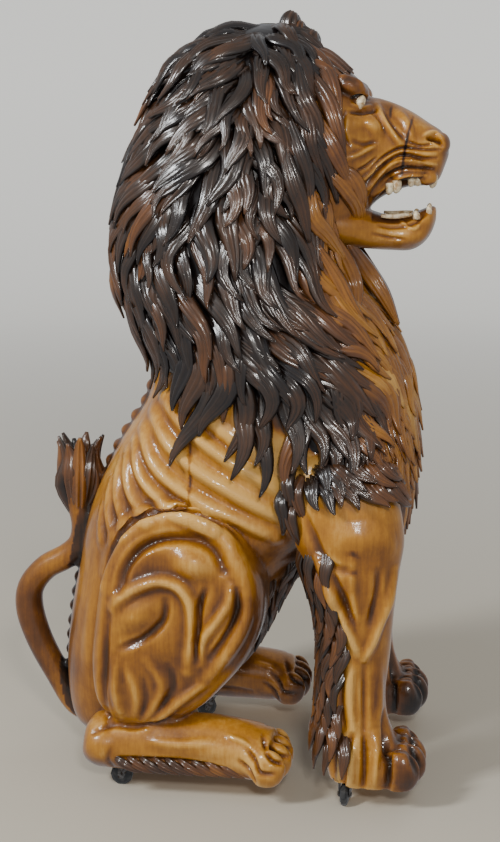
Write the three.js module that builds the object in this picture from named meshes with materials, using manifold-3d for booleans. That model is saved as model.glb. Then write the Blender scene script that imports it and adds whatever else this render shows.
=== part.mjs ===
// A seated lion carved in wood, loose maned and open mouthed, that stands on four small swivel castors.
// Millimetres. +X is the way the lion faces, +Z is up and the floor is z = 0.
// The origin is on the floor, midway along the lion's length.
import * as THREE from 'three';
import { mergeVertices } from 'three/addons/utils/BufferGeometryUtils.js';
import Module from 'manifold-3d';

const wasm = await Module();
wasm.setup();

// Driving sizes
const figureHeight = 1676;
const soleHeight = 50;
const wheelDiameter = 48;
const wheelWidth = 20;
const axleDiameter = 6;
const axleHeadDiameter = 10;
const axleHeadThickness = 2;
const pivotDiameter = 8;
const pivotHeadDiameter = 13;
const pivotHeadThickness = 2.5;
const bridgeThickness = 3;
const bridgeDiameter = 34;
const cheekThickness = 2.5;
const cheekBossDiameter = 15;
const castorTrail = 10;
const discDiameter = 50;
const discThickness = 4;
const stemDiameter = 11;
const stemLength = 38;

// Clearances
const faceGap = 0.3;
const wheelBoreGap = 0.5;
const wheelSideGap = 1;
const wheelTopGap = 1.4;
const pivotGap = 0.4;
const recessGap = 5;

// Heights and radii that follow from the sizes above
const wheelRadius = wheelDiameter / 2;
const pivotHeadBottom = wheelDiameter + wheelTopGap;
const pivotHeadTop = pivotHeadBottom + pivotHeadThickness;
const bridgeBottom = pivotHeadTop + faceGap;
const bridgeTop = bridgeBottom + bridgeThickness;
const discBottom = bridgeTop + faceGap;
const discTop = discBottom + discThickness;
const recessTop = discTop + faceGap;
const recessRadius = discDiameter / 2 + recessGap;

// The figure's free form is drawn in shares: thousandths of its height.
const share = (value) => (value * figureHeight) / 1000;

// Numbers eased from row to row by a Catmull-Rom spline, t from 0 at the first row to 1 at the last.
function easeRows(rows, t) {
  const span = rows.length - 1;
  const at = THREE.MathUtils.clamp(t, 0, 1) * span;
  const i = Math.min(Math.floor(at), span - 1);
  const f = at - i;
  const before = rows[Math.max(i - 1, 0)];
  const start = rows[i];
  const end = rows[i + 1];
  const after = rows[Math.min(i + 2, span)];
  return start.map((value, k) => {
    const slope = end[k] - before[k];
    const bend = 2 * before[k] - 5 * value + 4 * end[k] - after[k];
    const twist = 3 * value - before[k] - 3 * end[k] + after[k];
    return value + 0.5 * f * (slope + f * (bend + f * twist));
  });
}

// The eased row whose first number is the value asked for. First numbers rise down the table.
function rowAt(rows, first) {
  let low = 0;
  let high = 1;
  for (let i = 0; i < 24; i += 1) {
    const middle = (low + high) / 2;
    if (easeRows(rows, middle)[0] < first) low = middle;
    else high = middle;
  }
  return easeRows(rows, (low + high) / 2);
}

// A point of a rounded square of half size one; power 2 is a circle and larger is squarer.
function roundedPoint(angle, power) {
  const soften = (value) => Math.sign(value) * Math.abs(value) ** (2 / power);
  return [soften(Math.cos(angle)), soften(Math.sin(angle))];
}

// A closed skin over rings of equal length, each end closed to its ring's middle.
function skin(rings) {
  const sides = rings[0].length;
  const middle = (ring) => ring.reduce((sum, p) => sum.add(p), new THREE.Vector3()).divideScalar(sides);
  const points = [...rings.flat(), middle(rings[0]), middle(rings[rings.length - 1])];
  const startMiddle = points.length - 2;
  const endMiddle = points.length - 1;
  const lastRing = (rings.length - 1) * sides;
  const faces = [];
  for (let s = 0; s < sides; s += 1) {
    const next = (s + 1) % sides;
    faces.push(startMiddle, next, s, endMiddle, lastRing + s, lastRing + next);
    for (let r = 0; r < lastRing; r += sides) {
      faces.push(r + s, r + next, r + sides + next, r + s, r + sides + next, r + sides + s);
    }
  }
  const geometry = new THREE.BufferGeometry().setFromPoints(points);
  geometry.setIndex(faces);
  return geometry;
}

// Six times the volume inside a mesh, below zero where its faces point inward.
function signedVolume(vertices, triangles) {
  const corner = (k) => new THREE.Vector3().fromArray(vertices, 3 * triangles[k]);
  let total = 0;
  for (let k = 0; k < triangles.length; k += 3) total += corner(k).dot(corner(k + 1).cross(corner(k + 2)));
  return total;
}

// A geometry as a solid that can be joined and cut.
function solid(geometry) {
  geometry.deleteAttribute('normal');
  geometry.deleteAttribute('uv');
  const merged = mergeVertices(geometry, 1e-4);
  const vertProperties = new Float32Array(merged.attributes.position.array);
  const triVerts = new Uint32Array(merged.index.array);
  if (signedVolume(vertProperties, triVerts) < 0) {
    for (let k = 0; k < triVerts.length; k += 3) [triVerts[k], triVerts[k + 1]] = [triVerts[k + 1], triVerts[k]];
  }
  return new wasm.Manifold(new wasm.Mesh({ numProp: 3, vertProperties, triVerts }));
}

// All the solids joined in pairs, which is quicker than one by one.
function join(solids) {
  let left = solids;
  while (left.length > 1) {
    const paired = [];
    for (let i = 0; i < left.length; i += 2) paired.push(i + 1 < left.length ? left[i].add(left[i + 1]) : left[i]);
    left = paired;
  }
  return left[0];
}

// The triangles of the skins that face outward, which fills any pocket left closed inside a body.
function outwardSkins(vertices, triangles) {
  const owner = Array.from({ length: vertices.length / 3 }, (_, i) => i);
  const find = (i) => {
    let at = i;
    while (owner[at] !== at) at = owner[at];
    owner[i] = at;
    return at;
  };
  for (let k = 0; k < triangles.length; k += 3) {
    owner[find(triangles[k])] = find(triangles[k + 1]);
    owner[find(triangles[k + 1])] = find(triangles[k + 2]);
  }
  const skins = new Map();
  for (let k = 0; k < triangles.length; k += 3) {
    const key = find(triangles[k]);
    if (!skins.has(key)) skins.set(key, []);
    skins.get(key).push(triangles[k], triangles[k + 1], triangles[k + 2]);
  }
  return [...skins.values()].filter((faces) => signedVolume(vertices, faces) > 0).flat();
}

// A solid back as a geometry.
function geometryOf(body) {
  const { vertProperties, triVerts } = body.getMesh();
  const geometry = new THREE.BufferGeometry();
  geometry.setAttribute('position', new THREE.BufferAttribute(vertProperties, 3));
  geometry.setIndex(outwardSkins(vertProperties, triVerts));
  geometry.computeVertexNormals();
  return geometry;
}

// Slices stacked upwards. Rows: height, back, front, half width, power. All in shares but the power.
const towerPoint = ([z, back, front, half, power], angle, middleY) => {
  const [along, across] = roundedPoint(angle, power);
  const x = (back + front) / 2 + (along * (front - back)) / 2;
  return new THREE.Vector3(share(x), share(middleY + across * half), share(z));
};

// Slices set one before another. Rows: forward place, top, bottom, half width, power.
const beamPoint = ([x, top, bottom, half, power], angle, middleY) => {
  const [up, across] = roundedPoint(angle, power);
  const z = (top + bottom) / 2 + (up * (top - bottom)) / 2;
  return new THREE.Vector3(share(x), share(middleY + across * half), share(z));
};

// A solid through slices of one kind, centred at middleY. carve(column, level, angle, row) may give
// a slice point a new angle and how far it stands out of the plain slice, in shares.
function sliced(point, rows, levels, sides, middleY = 0, carve = (column, level, angle) => [angle, 0]) {
  const rings = [];
  for (let level = 0; level <= levels; level += 1) {
    const row = easeRows(rows, level / levels);
    rings.push(Array.from({ length: sides }, (_, column) => {
      const [angle, relief] = carve(column, level, ((column + 0.5) / sides) * 2 * Math.PI, row);
      const raised = [row[0], row[1] - relief, row[2] + relief, row[3] + relief, row[4]];
      return point(raised, angle, middleY);
    }));
  }
  return solid(skin(rings));
}

// A limb along a path. Rows: x, y, z, half thickness, half width. The width lies along Y.
function limb(rows, steps, sides) {
  const place = (t) => {
    const [x, y, z] = easeRows(rows, t);
    return new THREE.Vector3(share(x), share(y), share(z));
  };
  const rings = [];
  for (let step = 0; step <= steps; step += 1) {
    const t = step / steps;
    const [, , , thick, wide] = easeRows(rows, t);
    const way = place(t + 0.01).sub(place(t - 0.01)).normalize();
    const across = new THREE.Vector3(0, 1, 0).addScaledVector(way, -way.y).normalize();
    const up = way.clone().cross(across);
    rings.push(Array.from({ length: sides }, (_, s) => {
      const angle = ((s + 0.5) / sides) * 2 * Math.PI;
      return place(t)
        .addScaledVector(across, share(wide) * Math.cos(angle))
        .addScaledVector(up, share(thick) * Math.sin(angle));
    }));
  }
  return solid(skin(rings));
}

// A ball stretched to three half sizes, tipped by a pitch about Y. All in shares.
function ball([x, y, z], [along, across, high], pitch = 0, sides = 6) {
  const geometry = new THREE.SphereGeometry(1, sides, Math.ceil(sides * 0.7));
  geometry.scale(share(along), share(across), share(high));
  geometry.rotateY(pitch);
  geometry.translate(share(x), share(y), share(z));
  return solid(geometry);
}

// A lock of hair or a fold that rides on a surface: a three-sided ridge from a narrow root through its
// broadest part to a pointed tip. way(t) gives its place on the surface and lift(t) how far it stands off.
const rootDepth = 12;

function ridge(surface, way, halfWidth, height, lift, stations = 4) {
  const spot = (t) => surface(...way(t));
  const outward = (t) => {
    const [a, b] = way(t);
    const along = surface(a + 0.02, b).sub(surface(a - 0.02, b));
    return along.cross(surface(a, b + 2).sub(surface(a, b - 2))).normalize();
  };
  const rings = [];
  for (let k = 0; k <= stations; k += 1) {
    const t = k / stations;
    const swell = 0.12 + 0.88 * Math.sin(Math.PI * Math.min(1, 0.12 + 0.86 * t ** 0.8)) ** 0.8;
    const out = outward(t);
    const run = spot(Math.min(t + 0.04, 1)).sub(spot(Math.max(t - 0.04, 0))).normalize();
    const aside = out.clone().cross(run).normalize();
    const foot = spot(t).addScaledVector(out, share(lift(t) - rootDepth));
    rings.push([
      foot.clone().addScaledVector(aside, share(halfWidth * swell)),
      foot.clone().addScaledVector(out, share(rootDepth + height * swell)),
      foot.clone().addScaledVector(aside, share(-halfWidth * swell)),
    ]);
  }
  return solid(skin(rings));
}

// A spread of values from 0 to 1 that looks unordered and is the same on every run.
const scatter = (a, b) => {
  const value = Math.sin(a * 12.9898 + b * 78.233) * 43758.5453;
  return value - Math.floor(value);
};

// Body from the rump up to the shoulders
const torsoRows = [
  [32, -186, -120, 52, 2.3],
  [60, -206, -92, 88, 2.3],
  [100, -213, -40, 106, 2.4],
  [150, -214, 30, 116, 2.4],
  [200, -208, 62, 122, 2.4],
  [240, -201, 82, 125, 2.4],
  [280, -193, 108, 127, 2.3],
  [320, -186, 150, 129, 2.3],
  [360, -175, 225, 133, 2.3],
  [400, -158, 246, 139, 2.3],
  [450, -132, 252, 145, 2.2],
  [500, -99, 250, 149, 2.2],
  [545, -84, 240, 148, 2.2],
  [600, -80, 200, 140, 2.2],
];

// The mass under the mane's locks, with its hem slanting down to the chest
const maneRows = [
  [378, 172, 240, 84, 2.2],
  [400, 120, 250, 118, 2.2],
  [440, 52, 256, 143, 2.2],
  [480, 0, 258, 156, 2.2],
  [520, -58, 256, 163, 2.2],
  [550, -90, 248, 167, 2.2],
  [600, -112, 228, 167, 2.2],
  [650, -136, 194, 163, 2.2],
  [700, -142, 176, 159, 2.2],
  [750, -136, 168, 156, 2.3],
  [800, -122, 163, 150, 2.3],
  [850, -104, 158, 142, 2.3],
  [900, -84, 148, 126, 2.2],
  [940, -58, 134, 104, 2.1],
  [970, -16, 116, 72, 2],
  [984, 16, 102, 40, 2],
  [989, 40, 84, 10, 2],
];

// The surface that the locks hang on: the mane, and below its hem the flanks just under the locks
const drapeRows = [
  [320, -180, 215, 142, 2.2],
  [380, -160, 250, 148, 2.2],
  [440, -130, 257, 157, 2.2],
  [500, -100, 258, 162, 2.2],
  ...maneRows.slice(5),
];
const drape = (angle, z) => towerPoint(rowAt(drapeRows, z), angle, 0);

// Locks of the mane. A lock's ridge runs down one column with valleys beside it, and the locks of the
// next row start in those valleys, under the tips of the row above.
const locksAround = 22;
const lockLevels = 3;
const lockRows = 7;
const lockRelief = 19;
const lockReach = 1.4;

// How far the mane stands out at a column and level, from the locks that cross there
function lockHeight(column, level) {
  const down = (lockRows * lockLevels - level) / lockLevels;
  let height = 0;
  for (const above of [0, 1]) {
    const row = Math.floor(down) - above;
    const reach = lockReach * (0.9 + 0.2 * scatter(column, row));
    const along = (down - row) / reach;
    const onRidge = (column + row) % 2 === 0;
    if (onRidge && along < 1) height = Math.max(height, lockRelief * (0.35 + 0.65 * along));
  }
  return height;
}

// The mane, its locks parted at the sides and swept to the back and to the chest
function mane() {
  const levels = lockRows * lockLevels;
  const columns = 2 * locksAround;
  const carve = (column, level, angle, [, , , half]) => {
    const fall = 1 - level / levels;
    const relief = lockHeight(column, level) * Math.min(1, half / 70);
    return [angle - 0.28 * Math.sin(2 * angle) * fall, relief - 6];
  };
  return sliced(towerPoint, maneRows, levels, columns, 0, carve);
}

// Pointed ends of the lowest locks, hanging over the flanks and the forelegs. Rows: angle, top, length.
const hemLocks = [
  [2.85, 612, 106], [2.4, 602, 118], [2.0, 584, 132], [1.66, 556, 154], [1.32, 530, 174], [0.98, 498, 164],
  [0.6, 474, 134],
];

function hem() {
  const locks = [];
  for (const side of [-1, 1]) {
    for (const [angle, top, length] of hemLocks) {
      const way = (t) => [side * (angle - 0.06 * Math.sin(2 * Math.PI * t)), top - length * t];
      locks.push(ridge(drape, way, 22, 15, (t) => 3 * t, 4));
    }
  }
  return locks;
}

// Tufts that stand up over the forehead
function crownTufts() {
  return [
    limb([[70, -8, 960, 14, 12], [82, -12, 984, 12, 10], [96, -14, 998, 4, 4]], 4, 5),
    limb([[92, 8, 950, 15, 14], [106, 10, 976, 12, 10], [112, 12, 988, 4, 4]], 4, 5),
    limb([[104, -12, 936, 15, 18], [120, -16, 962, 11, 14], [124, -18, 978, 4, 5]], 4, 5),
    limb([[30, 14, 952, 14, 16], [42, 18, 980, 12, 12], [56, 20, 990, 4, 4]], 4, 5),
  ];
}

// Skull, brow and upper jaw, then the lower jaw. The mouth is open right through between them.
const skullRows = [
  [96, 942, 712, 96, 2.3],
  [135, 946, 708, 92, 2.4],
  [158, 934, 712, 84, 2.4],
  [178, 920, 728, 74, 2.4],
  [192, 899, 752, 66, 2.4],
  [207, 895, 768, 58, 2.4],
  [228, 888, 779, 51, 2.5],
  [250, 877, 785, 47, 2.6],
  [270, 864, 786, 43, 2.6],
  [283, 856, 793, 36, 2.4],
  [291, 847, 812, 26, 2.2],
  [295, 838, 824, 12, 2],
];
const jawRows = [
  [140, 770, 706, 72, 2.4],
  [175, 762, 706, 64, 2.4],
  [203, 752, 704, 53, 2.5],
  [225, 747, 703, 46, 2.5],
  [248, 750, 703, 40, 2.5],
  [264, 756, 711, 35, 2.4],
  [275, 760, 725, 27, 2.2],
  [281, 758, 742, 12, 2],
];

function head() {
  const pieces = [sliced(beamPoint, skullRows, 11, 12), sliced(beamPoint, jawRows, 7, 8)];
  for (const side of [-1, 1]) {
    pieces.push(
      ball([171, 44 * side, 908], [20, 30, 13], 0.45),
      ball([178, 62 * side, 862], [24, 16, 20]),
      ball([232, 42 * side, 812], [34, 13, 17], 0.2),
    );
  }
  return pieces;
}

// Ribs of the flanks: folds that run forward and down from the back, closing up towards the belly
const ribCount = 5;
const ribHalfWidth = 12;
const ribHeight = 9;
const flank = (angle, z) => towerPoint(rowAt(torsoRows, z), angle, 0);

function ribs() {
  const folds = [];
  for (const side of [-1, 1]) {
    for (let k = 0; k < ribCount; k += 1) {
      const down = k / (ribCount - 1);
      const angle = (t) => THREE.MathUtils.lerp(2.55 + 0.3 * down, 1.1 + 0.25 * down, t);
      const height = (t) => THREE.MathUtils.lerp(512 - 128 * down, 396 - 60 * down, 1 - (1 - t) ** 1.5);
      folds.push(ridge(flank, (t) => [side * angle(t), height(t)], ribHalfWidth, ribHeight, () => 0, 3));
    }
  }
  return folds;
}

// Knuckles of the spine down the back
function spine() {
  const knuckles = [];
  for (let z = 130; z < 510; z += 48) {
    const [, back] = rowAt(torsoRows, z);
    knuckles.push(ball([back + 4, 0, z], [10, 14, 14]));
  }
  return knuckles;
}

// Outline of the haunch seen from the side, with the knee to the front and the ankle below
const haunchOutline = [
  [-146, 232], [-138, 282], [-122, 322], [-100, 354], [-66, 374], [-28, 378], [10, 371], [42, 348],
  [66, 312], [76, 272], [72, 228], [54, 186], [24, 148], [-14, 112], [-66, 92], [-118, 92], [-146, 120],
  [-152, 176],
];
const haunchCentre = [-42, 236];

// The haunch as a stack of its outline, drawn in towards its centre as it rounds over
function haunch(side) {
  const levels = [[84, 0.97], [134, 1], [154, 0.94], [166, 0.8], [171, 0.55]];
  const rings = levels.map(([y, size]) => haunchOutline.map(([x, z]) => new THREE.Vector3(
    share(haunchCentre[0] + (x - haunchCentre[0]) * size),
    share(side * y),
    share(haunchCentre[1] + (z - haunchCentre[1]) * size),
  )));
  const y = (depth) => side * depth;
  return [
    solid(skin(rings)),
    limb([
      [-146, y(138), 244, 9, 8], [-130, y(150), 304, 13, 11], [-92, y(156), 352, 14, 12], [-34, y(158), 369, 15, 12],
      [26, y(156), 352, 15, 12], [60, y(152), 308, 14, 11], [68, y(148), 262, 12, 9],
    ], 7, 5),
    limb([[-96, y(160), 300, 8, 8], [-44, y(170), 318, 17, 10], [6, y(170), 300, 19, 10], [28, y(164), 262, 8, 8]], 4, 5),
    limb([[-110, y(160), 262, 8, 7], [-66, y(170), 268, 16, 9], [-34, y(172), 238, 17, 9], [-42, y(168), 190, 13, 8],
      [-70, y(156), 138, 8, 6]], 5, 5),
    limb([[24, y(164), 258, 9, 8], [36, y(166), 216, 20, 11], [8, y(160), 164, 14, 9], [-34, y(150), 118, 8, 7]], 4, 5),
  ];
}

const toeSpread = [-1.5, -0.5, 0.5, 1.5];

// The hind foot lies flat, heel behind and four toes before
function hindFoot(side) {
  const y = (value) => side * value;
  const foot = limb([
    [-163, y(130), 66, 22, 24], [-150, y(130), 64, 35, 36], [-112, y(131), 62, 38, 38], [-50, y(132), 64, 40, 37],
    [10, y(134), 64, 40, 38], [58, y(137), 60, 37, 43], [84, y(139), 56, 32, 45],
  ], 6, 8);
  const toes = toeSpread.map((step) => ball([91 - 3 * step * step, y(139 + 23 * step), 53], [21, 14, 24]));
  return [foot, ...toes];
}

// The foreleg stands straight. Rows: height, back, front, half width, power.
const forelegRows = [
  [26, 162, 262, 46, 2.6],
  [46, 156, 268, 49, 2.4],
  [66, 152, 258, 48, 2.3],
  [90, 147, 243, 43, 2.2],
  [118, 147, 234, 37, 2.1],
  [150, 149, 232, 35, 2.1],
  [190, 150, 236, 37, 2.2],
  [230, 148, 239, 41, 2.2],
  [270, 140, 242, 45, 2.2],
  [310, 126, 247, 48, 2.2],
  [350, 110, 252, 50, 2.2],
  [400, 104, 244, 44, 2.2],
  [440, 112, 226, 30, 2.2],
  [462, 130, 204, 12, 2.2],
];
const forelegMiddle = 125;

function foreleg(side) {
  const middle = side * forelegMiddle;
  const surface = (angle, z) => towerPoint(rowAt(forelegRows, z), angle, middle);
  const hair = [];
  for (let k = 0; k < 4; k += 1) {
    const z = 340 - 62 * k;
    const lean = side * (2.72 - 0.06 * k);
    const flare = k === 3 ? 13 : 6;
    hair.push(ridge(surface, (t) => [lean + 0.22 * side * t, z - 84 * t], 15, 12, (t) => flare * t, 3));
  }
  const toes = toeSpread.map((step) => ball([262 - 4 * step * step, middle + 23 * step, 50], [23, 14, 24]));
  return [
    sliced(towerPoint, forelegRows, 11, 10, middle),
    ...toes,
    ...hair,
    ball([178, middle + side * 30, 330], [42, 24, 44]),
  ];
}

// The tail bows out behind the rump, comes back to it and ends in a tuft of pointed locks
function tail() {
  const rows = [
    [-186, 0, 46, 17, 17], [-212, 0, 58, 17, 17], [-236, 0, 100, 18, 18], [-260, 0, 147, 19, 19],
    [-274, 0, 192, 20, 20], [-272, 0, 226, 19, 19], [-250, 0, 255, 18, 18], [-219, 0, 273, 18, 18],
    [-200, 0, 292, 17, 18], [-194, 0, 318, 17, 18], [-197, 0, 346, 19, 20], [-202, 0, 366, 21, 22],
  ];
  const tuft = [
    limb([[-196, -4, 346, 12, 14], [-214, -8, 384, 15, 15], [-219, -6, 412, 11, 12], [-227, -4, 438, 3, 4]], 4, 5),
    limb([[-200, 8, 346, 12, 14], [-204, 10, 392, 15, 15], [-209, 8, 424, 9, 10], [-206, 8, 444, 3, 3]], 4, 5),
    limb([[-198, -8, 346, 12, 14], [-188, -10, 388, 15, 14], [-189, -8, 422, 10, 10], [-186, -6, 441, 3, 3]], 4, 5),
    limb([[-196, 2, 346, 12, 14], [-177, 2, 386, 12, 14], [-173, 2, 416, 8, 10], [-175, 2, 438, 3, 3]], 4, 5),
  ];
  return [limb(rows, 15, 6), ...tuft];
}

// Where each castor's pivot stands, in shares, and which way its wheel trails, in degrees
const castors = [
  { name: 'rear_right', x: -110, y: -131, trails: 180 },
  { name: 'rear_left', x: -36, y: 116, trails: 205 },
  { name: 'front_right', x: 183, y: -148, trails: -96 },
  { name: 'front_left', x: 190, y: 130, trails: 160 },
];

// The radius whose flats, not its corners, stand at the radius asked for
const acrossFlats = (radius, sides) => radius / Math.cos(Math.PI / sides);

// A turned blank on a castor's pivot, from one height to another
function pivotBlank(radius, bottom, top, sides) {
  const geometry = new THREE.CylinderGeometry(radius, radius, top - bottom, sides);
  geometry.rotateX(Math.PI / 2);
  geometry.translate(0, 0, (bottom + top) / 2);
  return geometry;
}

// The round recess in a sole for a castor's disc and bridge, with the bore for its stem
function castorSeat({ x, y }) {
  const recess = pivotBlank(acrossFlats(recessRadius, 16), soleHeight - 30, recessTop, 16);
  const bore = pivotBlank(acrossFlats(stemDiameter / 2 + faceGap, 8), recessTop - 1, recessTop + stemLength, 8);
  return [recess, bore].map((geometry) => solid(geometry.translate(share(x), share(y), 0)));
}

// Everything below the soles, so that the feet end flat
function belowSoles() {
  const depth = 200;
  const box = new THREE.BoxGeometry(2 * figureHeight, 2 * figureHeight, depth);
  return solid(box.translate(0, 0, soleHeight - depth / 2));
}

function lionGeometry() {
  const carving = [
    sliced(towerPoint, torsoRows, 13, 16),
    mane(),
    ...hem(),
    ...crownTufts(),
    ...head(),
    ...ribs(),
    ...spine(),
    ...tail(),
  ];
  for (const side of [-1, 1]) carving.push(...haunch(side), ...hindFoot(side), ...foreleg(side));
  const cuts = [belowSoles(), ...castors.flatMap(castorSeat)];
  return geometryOf(cuts.reduce((body, cut) => body.subtract(cut), join(carving)));
}

// Stem, disc and pivot of a castor, turned in one piece
function stemGeometry() {
  const outline = [
    [0, pivotHeadBottom],
    [pivotHeadDiameter / 2, pivotHeadBottom],
    [pivotHeadDiameter / 2, pivotHeadTop],
    [pivotDiameter / 2, pivotHeadTop],
    [pivotDiameter / 2, discBottom],
    [discDiameter / 2, discBottom],
    [discDiameter / 2, discTop],
    [stemDiameter / 2, discTop],
    [stemDiameter / 2, discTop + stemLength - 1],
    [0, discTop + stemLength - 1],
  ];
  const geometry = new THREE.LatheGeometry(outline.map(([r, z]) => new THREE.Vector2(r, z)), 8);
  return geometry.rotateX(Math.PI / 2);
}

// Fork of a castor: a bridge bored for the pivot, two cheeks, and the axle riveted through them
function forkGeometry() {
  const inner = wheelWidth / 2 + wheelSideGap;
  const bossRadius = cheekBossDiameter / 2;
  const cheek = new THREE.Shape();
  cheek.moveTo(bridgeDiameter / 2 - 5, bridgeTop);
  cheek.lineTo(-bridgeDiameter / 2 + 2, bridgeTop);
  cheek.lineTo(-castorTrail - bossRadius, wheelRadius);
  cheek.absarc(-castorTrail, wheelRadius, bossRadius, Math.PI, 1.85 * Math.PI, false);
  const cheekAt = (y) => {
    const plate = new THREE.ExtrudeGeometry(cheek, { depth: cheekThickness, bevelEnabled: false, curveSegments: 2 });
    return solid(plate.rotateX(Math.PI / 2).translate(0, y + cheekThickness, 0));
  };
  const pin = (radius, halfLength) => {
    const geometry = new THREE.CylinderGeometry(radius, radius, 2 * halfLength, 6);
    return solid(geometry.translate(-castorTrail, 0, wheelRadius));
  };
  const outer = inner + cheekThickness;
  const between = new THREE.BoxGeometry(2 * bridgeDiameter, 2 * inner, 2 * pivotHeadBottom);
  const heads = pin(axleHeadDiameter / 2, outer + axleHeadThickness).subtract(solid(between));
  const bridge = solid(pivotBlank(bridgeDiameter / 2, bridgeBottom, bridgeTop, 10));
  const bore = solid(pivotBlank(acrossFlats(pivotDiameter / 2 + pivotGap, 8), bridgeBottom - 1, bridgeTop + 1, 8));
  const pieces = [bridge, cheekAt(inner), cheekAt(-outer), pin(axleDiameter / 2, outer), heads];
  return geometryOf(join(pieces).subtract(bore));
}

// Wheel of a castor: a bored hub, a thinner web and a rounded tread
function wheelGeometry() {
  const bore = axleDiameter / 2 + wheelBoreGap;
  const half = wheelWidth / 2;
  const outline = [
    [bore, -half], [bore + 4, -half], [wheelRadius - 6, -half + 2], [wheelRadius, -half + 6],
    [wheelRadius, half - 6], [wheelRadius - 6, half - 2], [bore + 4, half], [bore, half], [bore, -half],
  ];
  const sides = 10;
  const profile = outline.map(([r, y]) => new THREE.Vector2(acrossFlats(r, sides), y));
  return new THREE.LatheGeometry(profile, sides).rotateY(Math.PI / sides);
}

const finish = (color, roughness, metalness) => new THREE.MeshStandardMaterial({ color, roughness, metalness });

function piece(name, geometry, material) {
  const mesh = new THREE.Mesh(geometry, material);
  mesh.name = name;
  return mesh;
}

const figurehead = new THREE.Group();
figurehead.add(piece('lion', lionGeometry(), finish('#8a5a22', 0.3, 0)));

for (const castor of castors) {
  const turned = new THREE.Group();
  turned.position.set(share(castor.x), share(castor.y), 0);
  turned.rotation.z = THREE.MathUtils.degToRad(castor.trails + 180);
  const wheel = piece(`castor_wheel_${castor.name}`, wheelGeometry(), finish('#1c1b1a', 0.55, 0));
  wheel.position.set(-castorTrail, 0, wheelRadius);
  turned.add(
    piece(`castor_stem_${castor.name}`, stemGeometry(), finish('#5d5a55', 0.45, 1)),
    piece(`castor_fork_${castor.name}`, forkGeometry(), finish('#4c4a47', 0.45, 1)),
    wheel,
  );
  figurehead.add(turned);
}

export default figurehead;
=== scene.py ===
import math
import bpy
import numpy as np
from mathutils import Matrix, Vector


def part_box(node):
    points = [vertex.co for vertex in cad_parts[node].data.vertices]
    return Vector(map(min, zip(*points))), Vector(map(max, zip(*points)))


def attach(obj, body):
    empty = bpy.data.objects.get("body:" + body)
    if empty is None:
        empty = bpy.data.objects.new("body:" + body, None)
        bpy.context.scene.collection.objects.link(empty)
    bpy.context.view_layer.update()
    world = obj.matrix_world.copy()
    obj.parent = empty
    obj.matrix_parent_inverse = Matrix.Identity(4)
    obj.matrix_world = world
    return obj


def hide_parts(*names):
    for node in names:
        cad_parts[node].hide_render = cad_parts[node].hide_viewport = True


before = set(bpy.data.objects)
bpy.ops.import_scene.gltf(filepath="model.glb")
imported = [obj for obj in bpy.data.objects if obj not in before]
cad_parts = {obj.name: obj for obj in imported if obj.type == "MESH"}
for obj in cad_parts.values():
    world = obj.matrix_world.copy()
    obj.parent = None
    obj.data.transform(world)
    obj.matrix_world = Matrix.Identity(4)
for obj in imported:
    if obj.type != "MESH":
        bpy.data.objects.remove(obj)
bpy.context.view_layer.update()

# The place it stands in: a pale paper floor that sweeps up into a pale wall, under soft daylight, with painted
# light on the paper.
# It is staged, so it is no part of the object, and the camera looks at the lion's right side.

floor_radius = 8.0
sweep_radius = 3.0
wall_height = 9.0


def link(name, data):
    """A new object of that data, at the origin, in the scene."""
    made = bpy.data.objects.new(name, data)
    bpy.context.scene.collection.objects.link(made)
    return made


def mesh_object(name, points, quads, triangles=()):
    """A mesh from whole arrays: points, faces of four corners, then faces of three."""
    quads = np.asarray(quads, np.int32).reshape(-1, 4)
    triangles = np.asarray(triangles, np.int32).reshape(-1, 3)
    corners = np.concatenate([quads.ravel(), triangles.ravel()])
    starts = np.concatenate([np.arange(len(quads)) * 4, 4 * len(quads) + np.arange(len(triangles)) * 3])
    mesh = bpy.data.meshes.new(name)
    mesh.vertices.add(len(points))
    mesh.vertices.foreach_set("co", np.asarray(points, np.float32).ravel())
    mesh.loops.add(len(corners))
    mesh.loops.foreach_set("vertex_index", corners.astype(np.int32))
    mesh.polygons.add(len(starts))
    mesh.polygons.foreach_set("loop_start", starts.astype(np.int32))
    mesh.update(calc_edges=True)
    mesh.validate()
    mesh.polygons.foreach_set("use_smooth", np.ones(len(mesh.polygons), bool))
    return link(name, mesh)


def sweep_points(sides=96, bends=16):
    """A profile turned about Z: flat to the floor's edge, a quarter round up, then straight up the wall."""
    bend = np.linspace(0, np.pi / 2, bends)
    wall_radius = floor_radius + sweep_radius
    out = np.concatenate([[0.01, 2, 5], floor_radius + sweep_radius * np.sin(bend), [wall_radius]])
    up = np.concatenate([[0, 0, 0], sweep_radius * (1 - np.cos(bend)), [wall_height]])
    turn = np.linspace(0, 2 * np.pi, sides, endpoint=False)
    x, y = out[:, None] * np.cos(turn), out[:, None] * np.sin(turn)
    return np.stack([x, y, np.repeat(up[:, None], sides, 1)], -1)


def ring_quads(rings, sides):
    """Four-cornered faces between neighbouring rings of equal length, each ring closed on itself."""
    index = np.arange(rings * sides).reshape(rings, sides)
    after = np.roll(index, -1, 1)
    return np.stack([index[:-1], after[:-1], after[1:], index[1:]], -1).reshape(-1, 4)


sweep = sweep_points()
backdrop = mesh_object("backdrop", sweep.reshape(-1, 3), ring_quads(*sweep.shape[:2]))
backdrop.visible_shadow = False
backdrop.visible_diffuse = False
backdrop.visible_glossy = False


def shader(name):
    """A material with its node tree, and the tree's Principled shader."""
    material = bpy.data.materials.new(name)
    material.use_nodes = True
    return material, material.node_tree, material.node_tree.nodes["Principled BSDF"]


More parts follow.
